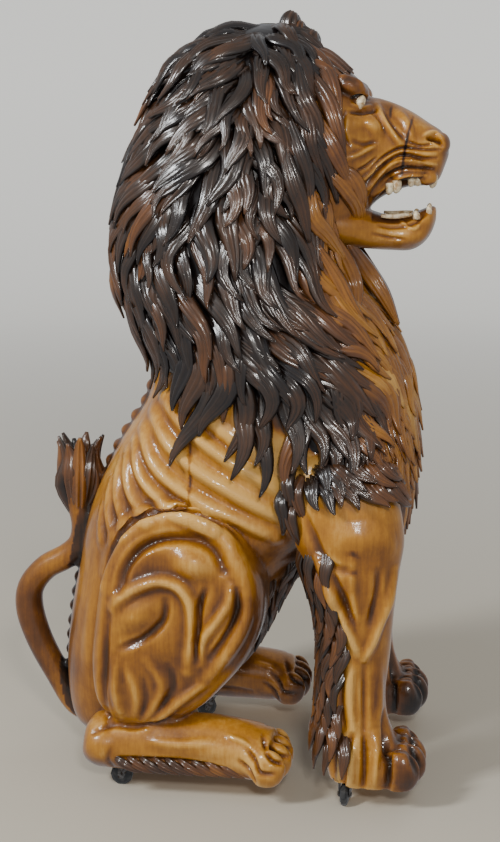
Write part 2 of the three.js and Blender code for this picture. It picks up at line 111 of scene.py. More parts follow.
paper, paper_tree, paper_shader = shader("backdrop_paper")
paper_reach = paper_tree.nodes.new("ShaderNodeVectorMath")
paper_reach.operation = "LENGTH"
paper_tree.links.new(paper_tree.nodes.new("ShaderNodeTexCoord").outputs["Object"], paper_reach.inputs[0])
paper_spread = paper_tree.nodes.new("ShaderNodeMapRange")
paper_spread.inputs["From Min"].default_value = 1.0
paper_spread.inputs["From Max"].default_value = floor_radius + sweep_radius
paper_tree.links.new(paper_reach.outputs["Value"], paper_spread.inputs["Value"])
paper_shader.inputs["Roughness"].default_value = 0.9
paper_shader.inputs["Emission Strength"].default_value = 1.0
# Painted light: the paper is coloured darker near the middle and lighter out on the wall, and it glows from
# nothing at the middle to pale grey on the wall, though it is no lamp.
paper_painted_light = {
    "Base Color": ((0.46, 0.415, 0.335), (0.80, 0.785, 0.74)),
    "Emission Color": ((0, 0, 0), (0.44, 0.435, 0.41)),
}
for socket, (near, far) in paper_painted_light.items():
    painted_light_ramp = paper_tree.nodes.new("ShaderNodeValToRGB")
    painted_light_ramp.color_ramp.elements[0].color = (*near, 1)
    painted_light_ramp.color_ramp.elements[1].color = (*far, 1)
    paper_tree.links.new(paper_spread.outputs[0], painted_light_ramp.inputs[0])
    paper_tree.links.new(painted_light_ramp.outputs[0], paper_shader.inputs[socket])
backdrop.data.materials.append(paper)

world = bpy.data.worlds.new("daylight")
world.use_nodes = True
world.node_tree.nodes["Background"].inputs["Color"].default_value = (0.95, 0.97, 1.0, 1)
world.node_tree.nodes["Background"].inputs["Strength"].default_value = 0.54
bpy.context.scene.world = world


def soft_light(name, place, aim, width, height, power, colour):
    """A flat rectangular light at a place, facing the point it is aimed at."""
    data = bpy.data.lights.new(name, "AREA")
    data.shape = "RECTANGLE"
    data.size, data.size_y, data.energy, data.color = width, height, power, colour
    lamp = link(name, data)
    away = np.array(place) - np.array(aim)
    lamp.location = place
    lamp.rotation_euler = (math.acos(away[2] / np.linalg.norm(away)), 0, math.atan2(away[0], -away[1]))
    return lamp


soft_light("window", (-2.6, -2.6, 3.2), (0, 0, 1.0), 0.7, 1.1, 190, (0.95, 0.98, 1.0))
soft_light("lamp", (0.9, -3.6, 2.4), (0.05, 0, 0.8), 0.45, 0.45, 72, (1.0, 0.97, 0.93))
sky = soft_light("sky", (1.6, 2.2, 3.6), (0, 0, 1.2), 2.4, 2.4, 22, (0.95, 0.98, 1.0))
sky.visible_glossy = False

camera = link("camera", bpy.data.cameras.new("camera"))
camera.data.lens = 62.0
camera.location = (0.4843, -3.1845, 1.42)
camera.rotation_euler = (math.radians(90 - 11.1), 0, math.radians(7.5))
bpy.context.scene.camera = camera

# The body: torso, legs, haunches and tail of one lion, carved from wooden blocks glued together.
# It is stained from amber to nearly black and varnished; its hollows are darker, partly by stain and partly by
# painted shade, and faces turned inward low down carry painted shade. Each sole has a recess for a castor.
# The forms are drawn in shares, thousandths of the figure's height. The near side's numbers serve both sides.

share = 0.001676
sole_height = 0.050

torso_rows = [
    (32, -186, -120, 52, 2.3), (60, -206, -92, 88, 2.3), (100, -213, -40, 106, 2.4), (150, -214, 30, 116, 2.4),
    (200, -208, 62, 122, 2.4), (240, -201, 82, 125, 2.4), (280, -193, 108, 127, 2.3), (320, -186, 150, 129, 2.3),
    (360, -175, 225, 133, 2.3), (400, -158, 246, 139, 2.3), (450, -132, 252, 145, 2.2), (500, -99, 250, 149, 2.2),
    (545, -84, 240, 148, 2.2), (600, -60, 190, 130, 2.2),
]
mane_rows = [
    (378, 172, 240, 84, 2.2), (400, 120, 250, 118, 2.2), (440, 52, 256, 143, 2.2), (480, 0, 258, 156, 2.2),
    (520, -58, 256, 163, 2.2), (550, -90, 248, 167, 2.2), (600, -112, 228, 167, 2.2), (650, -136, 194, 163, 2.2),
    (700, -142, 176, 159, 2.2), (750, -136, 168, 156, 2.3), (800, -122, 163, 150, 2.3), (850, -104, 158, 142, 2.3),
    (900, -84, 148, 126, 2.2), (940, -58, 134, 104, 2.1), (970, -16, 116, 72, 2), (984, 16, 102, 40, 2),
    (989, 40, 84, 10, 2),
]
foreleg_rows = [
    (26, 162, 262, 46, 2.6), (46, 156, 268, 49, 2.4), (66, 152, 258, 48, 2.3), (90, 147, 243, 43, 2.2),
    (118, 147, 234, 37, 2.1), (150, 149, 232, 35, 2.1), (190, 150, 236, 37, 2.2), (230, 148, 239, 41, 2.2),
    (270, 140, 242, 45, 2.2), (310, 126, 247, 48, 2.2), (350, 110, 252, 50, 2.2), (400, 104, 244, 44, 2.2),
    (440, 112, 226, 30, 2.2), (462, 130, 204, 12, 2.2),
]
foreleg_middle = 125
hind_foot_rows = [
    (-163, 130, 66, 22, 24), (-150, 130, 64, 35, 36), (-112, 131, 62, 38, 38), (-50, 132, 64, 40, 37),
    (10, 134, 64, 40, 38), (58, 137, 60, 37, 43), (84, 139, 56, 32, 45),
]
tail_rows = [
    (-186, 0, 46, 17, 17), (-212, 0, 58, 17, 17), (-236, 0, 100, 18, 18), (-260, 0, 147, 19, 19),
    (-274, 0, 192, 20, 20), (-272, 0, 226, 19, 19), (-250, 0, 255, 18, 18), (-219, 0, 273, 18, 18),
    (-200, 0, 292, 17, 18), (-194, 0, 318, 17, 18), (-197, 0, 346, 19, 20), (-202, 0, 366, 21, 22),
]
haunch_outline = [
    (-146, 232), (-138, 282), (-122, 322), (-100, 354), (-66, 374), (-28, 378), (10, 371), (42, 348), (66, 312),
    (76, 272), (72, 228), (54, 186), (24, 148), (-14, 112), (-66, 92), (-118, 92), (-146, 120), (-152, 176),
]
haunch_centre = (-42, 236)
skull_rows = [
    (96, 942, 712, 96, 2.3), (135, 946, 708, 92, 2.4), (158, 934, 712, 84, 2.4), (178, 920, 728, 74, 2.4),
    (192, 899, 752, 66, 2.4), (207, 895, 768, 58, 2.4), (228, 888, 779, 51, 2.5), (250, 877, 785, 47, 2.6),
    (270, 864, 786, 43, 2.6), (283, 856, 793, 36, 2.4), (291, 847, 812, 26, 2.2), (295, 838, 824, 12, 2),
]
jaw_rows = [
    (140, 770, 706, 72, 2.4), (175, 762, 706, 64, 2.4), (203, 752, 704, 53, 2.5), (225, 747, 703, 46, 2.5),
    (248, 750, 703, 40, 2.5), (264, 756, 711, 35, 2.4), (275, 760, 725, 27, 2.2), (281, 758, 742, 12, 2),
]


def eased(rows, t):
    """The rows' numbers at t from 0 to 1 down the table, on the cubic through each row and its neighbours."""
    rows = np.asarray(rows, float)
    span = len(rows) - 1
    at = np.clip(t, 0, 1) * span
    i = np.minimum(at.astype(int), span - 1)
    f = (at - i)[..., None]
    before, start = rows[np.maximum(i - 1, 0)], rows[i]
    end, after = rows[i + 1], rows[np.minimum(i + 2, span)]
    bend = 2 * before - 5 * start + 4 * end - after
    return start + 0.5 * f * (end - before + f * (bend + f * (3 * start - before - 3 * end + after)))


def rounded(angle, power):
    """A point of a rounded square of half size one: cosine and sine to the power two over power, signs kept."""
    c, s = np.cos(angle), np.sin(angle)
    return np.sign(c) * np.abs(c) ** (2 / power), np.sign(s) * np.abs(s) ** (2 / power)


def around(count):
    """Angles evenly round a full turn."""
    return np.linspace(0, 2 * np.pi, count, endpoint=False)


def tower(rows, levels, sides, middle=0.0, out=0.0):
    """Level slices stacked up: each a rounded square from back to front and to either side, grown by out."""
    z, back, front, half, power = eased(rows, np.linspace(0, 1, levels)).T[..., None]
    along, across = rounded(around(sides)[None], power)
    x = (back + front) / 2 + along * ((front - back) / 2 + out)
    return share * np.stack([x, middle + across * (half + out), z + 0 * x], -1)


def beam(rows, steps, sides):
    """Upright slices set one before another: each a rounded square from bottom to top and to either side."""
    x, top, bottom, half, power = eased(rows, np.linspace(0, 1, steps)).T[..., None]
    up, across = rounded(around(sides)[None], power)
    z = (top + bottom) / 2 + up * (top - bottom) / 2
    return share * np.stack([x + 0 * z, across * half, z], -1)


def limb(rows, steps, sides, side=1):
    """Ovals carried along a path and square to it; each row is a place, then half thickness and half width."""
    row = eased(rows, np.linspace(0, 1, steps))
    path = row[:, :3] * (1, side, 1)
    way = np.gradient(path, axis=0)
    way /= np.linalg.norm(way, axis=1, keepdims=True)
    across = np.array([0, 1.0, 0]) - way * way[:, 1:2]
    across /= np.linalg.norm(across, axis=1, keepdims=True)
    up = np.cross(way, across)
    turn = around(sides)[None, :, None]
    return share * (path[:, None] + across[:, None] * row[:, 4, None, None] * np.cos(turn)
                    + up[:, None] * row[:, 3, None, None] * np.sin(turn))


def ball(centre, half, pitch=0.0, side=1):
    """An ellipsoid by latitude and longitude, tipped about Y by the pitch."""
    up = np.linspace(-np.pi / 2 + 0.1, np.pi / 2 - 0.1, 14)[:, None]
    turn = around(20)[None]
    x, y = half[0] * np.cos(up) * np.cos(turn), half[1] * np.cos(up) * np.sin(turn)
    z = half[2] * np.sin(up) + 0 * turn
    x, z = x * math.cos(pitch) + z * math.sin(pitch), z * math.cos(pitch) - x * math.sin(pitch)
    return share * np.stack([centre[0] + x, side * centre[1] + y, centre[2] + z], -1)


def haunch(side):
    """The haunch's outline stacked from the hip outwards, drawn in to its centre by a fifth-power round."""
    outline = np.array(haunch_outline + haunch_outline[:1])
    t = np.linspace(0, 1, 73)[:-1]
    wrapped = np.concatenate([outline[-3:-1], outline, outline[1:3]])
    ring = eased(wrapped, (2 + t * (len(outline) - 1)) / (len(wrapped) - 1))
    depth = np.concatenate([[60], 100 + 72 * np.sin(np.linspace(0, 1, 22) * np.pi / 2)])
    size = (1 - np.clip((depth - 100) / 72.001, 0, 1) ** 5) ** 0.2
    x = haunch_centre[0] + (ring[None, :, 0] - haunch_centre[0]) * size[:, None]
    z = haunch_centre[1] + (ring[None, :, 1] - haunch_centre[1]) * size[:, None]
    return share * np.stack([x, side * depth[:, None] + 0 * x, z], -1)


def closed(rings):
    """Points and faces of a skin over rings, each end fanned to its ring's middle, faces turned outward."""
    steps, sides = rings.shape[:2]
    points = np.concatenate([rings.reshape(-1, 3), rings[[0, -1]].mean(1)])
    quads = ring_quads(steps, sides)
    first = np.arange(sides)
    last = first + (steps - 1) * sides
    start = np.stack([np.full(sides, steps * sides), np.roll(first, -1), first], -1)
    end = np.stack([np.full(sides, steps * sides + 1), last, np.roll(last, -1)], -1)
    triangles = np.concatenate([start, end])
    a, b, c, d = (points[quads[:, k]] for k in range(4))
    volume = (np.cross(a, b) * c).sum() + (np.cross(a, c) * d).sum()
    if volume < 0:
        quads, triangles = quads[:, ::-1], triangles[:, ::-1]
    return points, quads, triangles


def gathered(shells):
    """Several closed skins as one set of points and faces."""
    points, quads, triangles, count = [], [], [], 0
    for p, q, t in map(closed, shells):
        points.append(p)
        quads.append(q + count)
        triangles.append(t + count)
        count += len(p)
    return np.concatenate(points), np.concatenate(quads), np.concatenate(triangles)


def neighbours_mean(values, edges, times):
    """Each value moved half way to the mean of its neighbours along the edges, that many times over."""
    a, b = edges.T
    count = np.bincount(a, minlength=len(values)) + np.bincount(b, minlength=len(values))
    columns = values.reshape(len(values), -1).copy()
    for _ in range(times):
        for k in range(columns.shape[1]):
            c = columns[:, k]
            total = np.bincount(a, c[b], len(c)) + np.bincount(b, c[a], len(c))
            columns[:, k] = 0.5 * c + 0.5 * total / np.maximum(count, 1)
    return columns.reshape(values.shape)


def fused(name, shells, cell, times):
    """The skins grown into one by a net of that cell, then eased: an object with its points and edges."""
    rough = mesh_object(name + "_rough", *gathered(shells))
    net = rough.modifiers.new("net", "REMESH")
    net.mode, net.voxel_size = "VOXEL", cell
    mesh = bpy.data.meshes.new_from_object(rough.evaluated_get(bpy.context.evaluated_depsgraph_get()))
    bpy.data.objects.remove(rough)
    mesh.name = name
    made = link(name, mesh)
    points = np.empty(len(mesh.vertices) * 3, np.float32)
    mesh.vertices.foreach_get("co", points)
    edges = np.empty(len(mesh.edges) * 2, np.int32)
    mesh.edges.foreach_get("vertices", edges)
    edges = edges.reshape(-1, 2)
    return made, neighbours_mean(points.reshape(-1, 3).astype(float), edges, times), edges


def put_points(made, points):
    """Writes the points back into the mesh and gives its new normals."""
    made.data.vertices.foreach_set("co", points.astype(np.float32).ravel())
    made.data.update()
    normals = np.empty(len(points) * 3, np.float32)
    made.data.vertices.foreach_get("normal", normals)
    return normals.reshape(-1, 3).astype(float)


def put_value(made, name, values):
    """A number at each point, for the material to read."""
    made.data.attributes.new(name, "FLOAT", "POINT").data.foreach_set("value", values.astype(np.float32))


def thinned(made, most):
    """Collapses the object's edges until that many triangles are left; its stored numbers are kept."""
    thin = made.modifiers.new("thin", "DECIMATE")
    thin.ratio = min(1.0, most / (len(made.data.loops) - 2 * len(made.data.polygons)))
    mesh = bpy.data.meshes.new_from_object(made.evaluated_get(bpy.context.evaluated_depsgraph_get()))
    made.modifiers.clear()
    made.data = mesh


def smooth_step(x):
    """0 below 0, 1 above 1, and an even S between."""
    x = np.clip(x, 0, 1)
    return x * x * (3 - 2 * x)


def line_relief(points, lines):
    """How far each point is raised by lines drawn on the side view: across a line the height falls off as the
    square of one less the distance squared, and it tapers to each end. The highest ridge and the deepest
    groove add."""
    raised = np.zeros(len(points))
    sunk = np.zeros(len(points))
    flat = points[:, [0, 2]] / share
    for half, height, marks in lines:
        path = eased(marks, np.linspace(0, 1, 6 * len(marks)))
        near = np.flatnonzero(((flat > path.min(0) - half) & (flat < path.max(0) + half)).all(1))
        a, run = path[:-1], np.diff(path, axis=0)
        off = flat[near, None] - a
        t = np.clip((off * run).sum(-1) / (run ** 2).sum(-1), 0, 1)
        far = np.linalg.norm(off - t[..., None] * run, axis=-1)
        best = far.argmin(1)
        along = (best + t[np.arange(len(near)), best]) / len(a)
        taper = np.sin(np.pi * np.clip(along, 0.03, 0.97)) ** 0.45
        bump = np.clip(1 - (far.min(1) / half) ** 2, 0, 1) ** 2 * taper
        if height > 0:
            raised[near] = np.maximum(raised[near], height * bump)
        else:
            sunk[near] = np.minimum(sunk[near], height * bump)
    return share * (raised + sunk)


def mound_relief(points, mounds):
    """How far points are raised by ovals on the side view, each x, z, half length, half height, tilt in degrees
    and height: the height times the square of one less the distance squared, the rim at a distance of one."""
    raised = np.zeros(len(points))
    for x, z, long, high, tilt, height in mounds:
        along, up = points[:, 0] / share - x, points[:, 2] / share - z
        c, s = math.cos(math.radians(tilt)), math.sin(math.radians(tilt))
        far = ((along * c + up * s) / long) ** 2 + ((up * c - along * s) / high) ** 2
        raised += height * np.clip(1 - far, 0, 1) ** 2
    return share * raised


def side_relief(points, normals, lines, mounds=(), inner=0.0, least=0.0):
    """Lines and mounds along the normals, on the faces that look to the side, fading as they turn away."""
    y = points[:, 1]
    facing = normals[:, 1] * np.sign(y)
    weight = smooth_step((facing - 0.1) / 0.5) + inner * smooth_step((-facing - 0.1) / 0.5)
    weight = weight * smooth_step((np.abs(y) / share - least) / 12)
    return points + normals * ((line_relief(points, lines) + mound_relief(points, mounds)) * weight)[:, None]


def eased_normals(made, points, edges, times=4):
    """Writes the points back and gives their normals, each drawn toward its neighbours' and made one long."""
    normals = neighbours_mean(put_points(made, points), edges, times)
    return normals / np.linalg.norm(normals, axis=1, keepdims=True)


def hollows(points, normals, edges, times, depth):
    """How far the eased surface stands over a point as a share of that depth: above 0 in a hollow, below on a
    crest."""
    return np.clip(((neighbours_mean(points, edges, times) - points) * normals).sum(1) / depth, -1, 1)


def patches(points, base, spots):
    """The base number, moved by each round patch (x, z, half length, half height, change) of the side view."""
    value = np.full(len(points), float(base))
    for x, z, long, high, change in spots:
        along, up = (points[:, 0] / share - x) / long, (points[:, 2] / share - z) / high
        value += change * np.exp(-along ** 2 - up ** 2)
    return value


def node(tree, kind, **inputs):
    """A new node with the given input values; names use _ for a space."""
    made = tree.nodes.new(kind)
    for name, value in inputs.items():
        made.inputs[name.replace("_", " ")].default_value = value
    return made


def maths(tree, operation, a, b=None):
    """A Math node on two values, each a number or an output."""
    made = tree.nodes.new("ShaderNodeMath")
    made.operation = operation
    for k, value in enumerate((a, b)):
        if isinstance(value, (int, float)):
            made.inputs[k].default_value = value
        elif value is not None:
            tree.links.new(value, made.inputs[k])
    return made.outputs[0]


def attribute(tree, name):
    """The number stored at each point under that name."""
    made = tree.nodes.new("ShaderNodeAttribute")
    made.attribute_name = name
    return made.outputs["Fac"]


def noise(tree, vector, scale, detail, roughness=0.55, stretch=None):
    """A noise pattern's number, on the given coordinates, stretched by scales along each axis."""
    if stretch is not None:
        mapping = tree.nodes.new("ShaderNodeMapping")
        mapping.inputs["Scale"].default_value = stretch
        tree.links.new(vector, mapping.inputs["Vector"])
        vector = mapping.outputs[0]
    made = node(tree, "ShaderNodeTexNoise", Scale=scale, Detail=detail, Roughness=roughness)
    tree.links.new(vector, made.inputs["Vector"])
    return made.outputs[0]


stain_stops = [
    (0.00, (0.005, 0.003, 0.003)), (0.14, (0.017, 0.009, 0.005)), (0.30, (0.050, 0.020, 0.007)),
    (0.46, (0.105, 0.036, 0.008)), (0.62, (0.215, 0.078, 0.007)), (0.78, (0.350, 0.145, 0.013)),
    (1.00, (0.560, 0.310, 0.075)),
]


def varnished(name, on_locks):
    """Stained, varnished wood: a stain from near black to gold by the tone, darker in hollows, partly by stain
    gathered there and partly by painted shade, and lighter on worn crests, with patches, lengthwise grain and tool
    cuts, under a glossy coat."""
    material, tree, surface = shader(name)
    place = tree.nodes.new("ShaderNodeTexCoord").outputs["Object"]
    if on_locks:
        joined = tree.nodes.new("ShaderNodeCombineXYZ")
        tree.links.new(attribute(tree, "across"), joined.inputs[0])
        tree.links.new(attribute(tree, "along"), joined.inputs[1])
        grain = noise(tree, joined.outputs[0], 1.0, 5, 0.6, (420, 16, 1))
        cuts = noise(tree, joined.outputs[0], 1.0, 2, 0.5, (230, 9, 1))
    else:
        grain = noise(tree, place, 1.0, 6, 0.62, (150, 150, 9))
        cuts = noise(tree, place, 1.0, 3, 0.5, (24, 24, 12))
    patch = noise(tree, place, 8.0, 5, 0.62)
    broad = noise(tree, place, 2.6, 2)
    value = attribute(tree, "tone")
    for part, amount in ((patch, 0.68), (broad, 0.44), (grain, 0.26)):
        value = maths(tree, "ADD", value, maths(tree, "MULTIPLY", maths(tree, "SUBTRACT", part, 0.5), amount))
    # Painted shade: the hollow number darkens hollows, partly as stain gathered there and partly as shade; crests
    # come out lighter, as worn.
    hollow = maths(tree, "MULTIPLY", attribute(tree, "hollow"), 0.16 if on_locks else 0.27)
    value = maths(tree, "SUBTRACT", value, hollow)
    ramp = tree.nodes.new("ShaderNodeValToRGB")
    stops = ramp.color_ramp.elements
    while len(stops) < len(stain_stops):
        stops.new(0.5)
    for stop, (at, colour) in zip(stops, stain_stops):
        stop.position, stop.color = at, (*colour, 1)
    tree.links.new(value, ramp.inputs[0])
    tree.links.new(ramp.outputs[0], surface.inputs["Base Color"])
    wear = maths(tree, "MULTIPLY_ADD", patch, 0.34)
    wear.node.inputs[2].default_value = 0.14 if on_locks else 0.20
    tree.links.new(wear, surface.inputs["Roughness"])
    surface.inputs["Coat Weight"].default_value = 0.66 if on_locks else 0.46
    surface.inputs["Coat Roughness"].default_value = 0.10
    surface.inputs["Specular IOR Level"].default_value = 0.35 if on_locks else 0.25
    bumps = maths(tree, "ADD", maths(tree, "MULTIPLY", grain, 0.4 if on_locks else 0.15), cuts)
    strength, distance = (0.6, 0.0022) if on_locks else (0.5, 0.0030)
    bump = node(tree, "ShaderNodeBump", Strength=strength, Distance=distance)
    tree.links.new(bumps, bump.inputs["Height"])
    tree.links.new(bump.outputs[0], surface.inputs["Normal"])
    tree.links.new(bump.outputs[0], surface.inputs["Coat Normal"])
    return material


body_wood = varnished("varnished_wood", False)
toe_steps = (-1.5, -0.5, 0.5, 1.5)
body_shells = [tower(torso_rows, 60, 72), limb(tail_rows, 80, 20)]
for side in (-1, 1):
    body_shells += [haunch(side), limb(hind_foot_rows, 30, 28, side),
                    tower(foreleg_rows, 60, 32, side * foreleg_middle),
                    ball((184, foreleg_middle + 26, 348), (60, 22, 44), 0, side),
                    ball((176, foreleg_middle + 20, 300), (30, 27, 60), 0, side),
                    ball((-142, 133, 62), (24, 34, 36), 0, side)]
    for s in toe_steps:
        body_shells.append(ball((91 - 3 * s * s, 139 + 25 * s, 52), (24, 13, 27), 0.3, side))
    for s in toe_steps:
        body_shells.append(ball((260 - 4 * s * s, foreleg_middle + 26 * s, 52), (28, 14, 30), 0.3, side))
spine_heights = np.arange(118, 556, 21)
for k, z in enumerate(spine_heights):
    back = np.interp(z, [r[0] for r in torso_rows], [r[1] for r in torso_rows])
    body_shells.append(ball((back + 3, 0, z), (13, 13 + 3 * (k % 2), 11)))

flank_lines = [
    (15, 6, [(-39, 532), (-7, 510), (21, 488), (50, 467), (88, 446)]),
    (15, 12, [(-58, 519), (-33, 494), (-1, 471), (37, 446), (76, 423), (105, 404)]),
    (15, 12, [(-76, 498), (-52, 467), (-18, 440), (21, 416), (59, 393), (100, 371)]),
    (14, 11, [(-91, 475), (-72, 439), (-40, 412), (1, 389), (44, 368), (88, 345)]),
    (13, 10, [(-101, 456), (-89, 420), (-62, 393), (-27, 376), (11, 360)]),
    (13, 9, [(-112, 440), (-106, 404), (-93, 380), (-73, 368)]),
    (12, 8, [(-124, 424), (-123, 390), (-116, 364), (-107, 347)]),
    (11, 7, [(-135, 400), (-137, 370), (-132, 343), (-127, 329)]),
    (10, 6, [(-146, 369), (-148, 343), (-146, 316)]),
]
haunch_lines = [
    (17, 11, [
        (-137, 284), (-129, 318), (-113, 345), (-89, 364), (-61, 374), (-29, 378), (0, 371), (25, 352),
        (42, 324), (54, 292), (56, 257),
    ]),
    (11, -13, [(-106, 282), (-99, 311), (-82, 334), (-59, 347), (-29, 352), (-1, 348), (18, 335), (28, 313)]),
    (13, 11, [
        (-118, 257), (-101, 274), (-79, 288), (-55, 296), (-32, 291), (-17, 273), (-12, 243), (-15, 209),
        (-20, 178),
    ]),
    (8, -7, [(-46, 270), (-50, 244), (-74, 220), (-106, 204)]),
    (11, 9, [(37, 291), (32, 268), (15, 242), (-1, 217), (-5, 190)]),
    (7, -9, [(4, 286), (-4, 257), (-6, 223), (-7, 190)]),
    (13, 8, [(56, 286), (55, 253), (42, 219), (21, 188), (2, 163)]),
    (7, -8, [(45, 288), (45, 259), (29, 225), (11, 197)]),
    (10, 8, [(4, 163), (-24, 141), (-51, 117), (-76, 95)]),
    (10, 5, [(-72, 190), (-54, 160), (-62, 128), (-82, 98)]),
    (8, -4, [(-44, 184), (-38, 154), (-58, 122)]),
    (10, 4, [(-100, 180), (-88, 145), (-88, 104)]),
    (7, -3, [(-78, 165), (-74, 136), (-84, 108)]),
    (9, -6, [(-122, 265), (-126, 224), (-129, 177), (-133, 129), (-127, 90)]),
    (10, 6, [(-112, 185), (-114, 143), (-108, 109)]),
]
haunch_mounds = [
    (-12, 320, 38, 25, -22, 11), (-84, 250, 42, 24, 34, 7), (-52, 212, 26, 34, -20, 5), (-175, 200, 30, 90, 0, 4),
    (28, 225, 22, 50, -14, 4),
]
hindfoot_lines = [
    (5, -5, [(-147, 82), (-120, 92), (-90, 92), (-57, 102), (-37, 110)]),
    (4, -3, [(-121, 66), (-126, 49), (-121, 32)]),
    (5, -5, [(-110, 52), (-70, 52), (-18, 52), (28, 47)]),
    (4, -9, [(76, 91), (84, 77), (94, 67), (110, 62)]),
    (4, -8, [(56, 81), (69, 65), (76, 52), (94, 51)]),
    (4, -7, [(48, 63), (61, 51), (69, 35)]),
    (4, 4, [(32, 89), (53, 84), (63, 76)]),
    (8, 3, [(-70, 77), (-31, 76), (9, 81)]),
]
foreleg_lines = [
    (10, 10, [(146, 331), (157, 303), (171, 271), (185, 238), (198, 208)]),
    (9, 9, [(243, 316), (234, 283), (223, 250), (214, 221), (205, 201)]),
    (8, 4, [(189, 333), (189, 294), (196, 255)]),
    (7, -6, [(166, 316), (178, 283), (190, 252)]),
    (7, -6, [(221, 319), (219, 285), (211, 249)]),
    (8, 5, [(190, 192), (188, 149), (192, 102)]),
    (8, 4, [(222, 193), (224, 151), (224, 114)]),
    (6, -5, [(205, 193), (206, 150), (207, 90)]),
    (6, -5, [(172, 280), (178, 215), (176, 149), (181, 109)]),
    (9, -5, [(127, 388), (139, 363), (151, 337), (168, 322), (192, 320)]),
]
forepaw_lines = [
    (6, -9, [(192, 100), (185, 69), (180, 31)]),
    (6, -9, [(207, 101), (208, 68), (206, 30)]),
    (7, -11, [(232, 123), (235, 93), (238, 59), (236, 29)]),
    (6, -8, [(177, 103), (168, 75), (167, 41)]),
    (7, -7, [(250, 107), (265, 81), (276, 55)]),
    (8, 5, [(192, 94), (190, 63), (190, 36)]),
    (8, 5, [(221, 101), (223, 69), (221, 34)]),
]
leg_mounds = [
    (198, 360, 56, 26, 0, 5), (-138, 62, 26, 30, 0, 5), (-10, 74, 70, 18, 0, 4), (166, 290, 20, 50, -20, 4),
    (224, 290, 18, 46, 14, 3), (258, 66, 26, 32, 0, 6),
]
face_lines = [
    (7, 6, [(157, 918), (169, 921), (180, 916), (188, 906)]),
    (3, -5, [(174, 894), (184, 896), (194, 893)]),
    (3, 3, [(174, 887), (184, 883), (197, 885)]),
    (4, -4, [(172, 877), (187, 876), (204, 879)]),
    (10, 3, [(175, 863), (190, 865), (204, 858), (207, 845)]),
    (5, -3, [(175, 843), (190, 838), (205, 841)]),
    (7, 5, [(204, 887), (214, 867), (227, 848), (237, 836)]),
    (4, -3, [(214, 877), (224, 860), (237, 845)]),
    (7, 3, [(226, 882), (241, 865), (249, 845)]),
    (4, -5, [(167, 877), (165, 855), (173, 836)]),
    (5, 4, [(173, 821), (188, 828), (202, 836)]),
    (3, -6, [(280, 821), (262, 821), (245, 825), (230, 824), (213, 811), (198, 794), (188, 777)]),
    (3, 5, [(279, 813), (260, 815), (240, 817), (225, 813), (208, 799), (196, 782)]),
    (3, -6, [(277, 807), (257, 809), (238, 809), (220, 800), (206, 785), (196, 769)]),
    (3, 5, [(267, 799), (245, 800), (228, 795), (213, 784), (203, 772)]),
    (3, -5, [(284, 831), (267, 831), (249, 833), (235, 833), (217, 824), (200, 809)]),
    (3, -4, [(274, 838), (259, 836), (244, 841)]),
    (3, -4, [(183, 806), (193, 811), (205, 821)]),
    (3, 4, [(181, 787), (191, 796), (203, 806)]),
    (4, -9, [(269, 845), (279, 843), (286, 836)]),
    (4, 4, [(264, 850), (276, 852), (287, 845)]),
    (4, 5, [(213, 774), (207, 764), (209, 752), (221, 746), (241, 747), (261, 755)]),
    (3, -4, [(201, 779), (196, 762), (201, 747)]),
    (4, -3, [(209, 737), (229, 734), (249, 737), (266, 750)]),
    (3, -3, [(202, 727), (222, 722), (242, 720)]),
    (3, 3, [(236, 742), (252, 732), (261, 738)]),
]

body, points, edges = fused("lion_body", body_shells, 0.0043, 7)
normals = eased_normals(body, points, edges)
points = side_relief(points, normals, flank_lines, least=60)
normals = eased_normals(body, points, edges)
points = side_relief(points, normals, haunch_lines, haunch_mounds, least=88)
normals = eased_normals(body, points, edges)
points = side_relief(points, normals, hindfoot_lines + foreleg_lines + forepaw_lines, leg_mounds, 0.7, 52)
points = neighbours_mean(points, edges, 2)
points[:, 2] = np.maximum(points[:, 2], sole_height)

castor_places = {
    "rear_right": (-110, -131), "rear_left": (-36, 116), "front_right": (183, -148), "front_left": (190, 130),
}
recess_radius = 0.030
rim_width = 0.004
rim_step = 0.0002
disc_gap = 0.0003
stem_above_disc = 0.037
for name, (x, y) in castor_places.items():
    disc_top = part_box("castor_stem_" + name)[1][2] - stem_above_disc
    off = points[:, :2] - np.array([x, y]) * share
    far = np.linalg.norm(off, axis=1)
    low = points[:, 2] < sole_height + rim_width
    inside = low & (far < recess_radius)
    rim = low & (far >= recess_radius) & (far < recess_radius + rim_width)
    edge = low & (far > recess_radius - rim_width) & inside
    points[edge, :2] += off[edge] * ((recess_radius - rim_step) / far[edge] - 1)[:, None]
    points[rim, :2] += off[rim] * ((recess_radius + rim_step) / far[rim] - 1)[:, None]
    points[inside, 2] = disc_top + disc_gap
normals = put_points(body, points)

body_tones = [
    (268, 60, 34, 56, -0.50), (100, 52, 34, 30, -0.12), (-150, 64, 26, 40, -0.10), (-60, 40, 110, 9, -0.22),
    (146, 200, 14, 150, -0.50), (135, 90, 22, 60, -0.35), (-208, 300, 20, 230, -0.20), (-268, 180, 40, 130, -0.38),
    (-205, 410, 40, 50, -0.30), (-90, 310, 60, 30, -0.16), (-126, 180, 12, 90, -0.14), (62, 200, 34, 70, -0.30),
    (104, 300, 26, 40, -0.22), (96, 440, 90, 50, 0.30), (20, 420, 100, 60, 0.16), (60, 60, 90, 30, 0.02),
    (190, 380, 50, 30, 0.08), (200, 560, 60, 90, -0.10), (-60, 150, 50, 60, -0.08), (222, 170, 12, 50, -0.16),
]
stain_lines = [
    (3, -0.5, [(-20, 471), (-19, 433), (-21, 387)]), (5, -0.35, [(185, 342), (191, 342), (193, 338)]),
    (5, -0.35, [(186, 317), (191, 317), (193, 314)]), (6, -0.22, [(222, 200), (222, 160), (219, 120)]),
]
tone = patches(points, 0.70, body_tones) + line_relief(points, stain_lines) / share
y_share = np.abs(points[:, 1]) / share
x_share, z_share = points[:, 0] / share, points[:, 2] / share
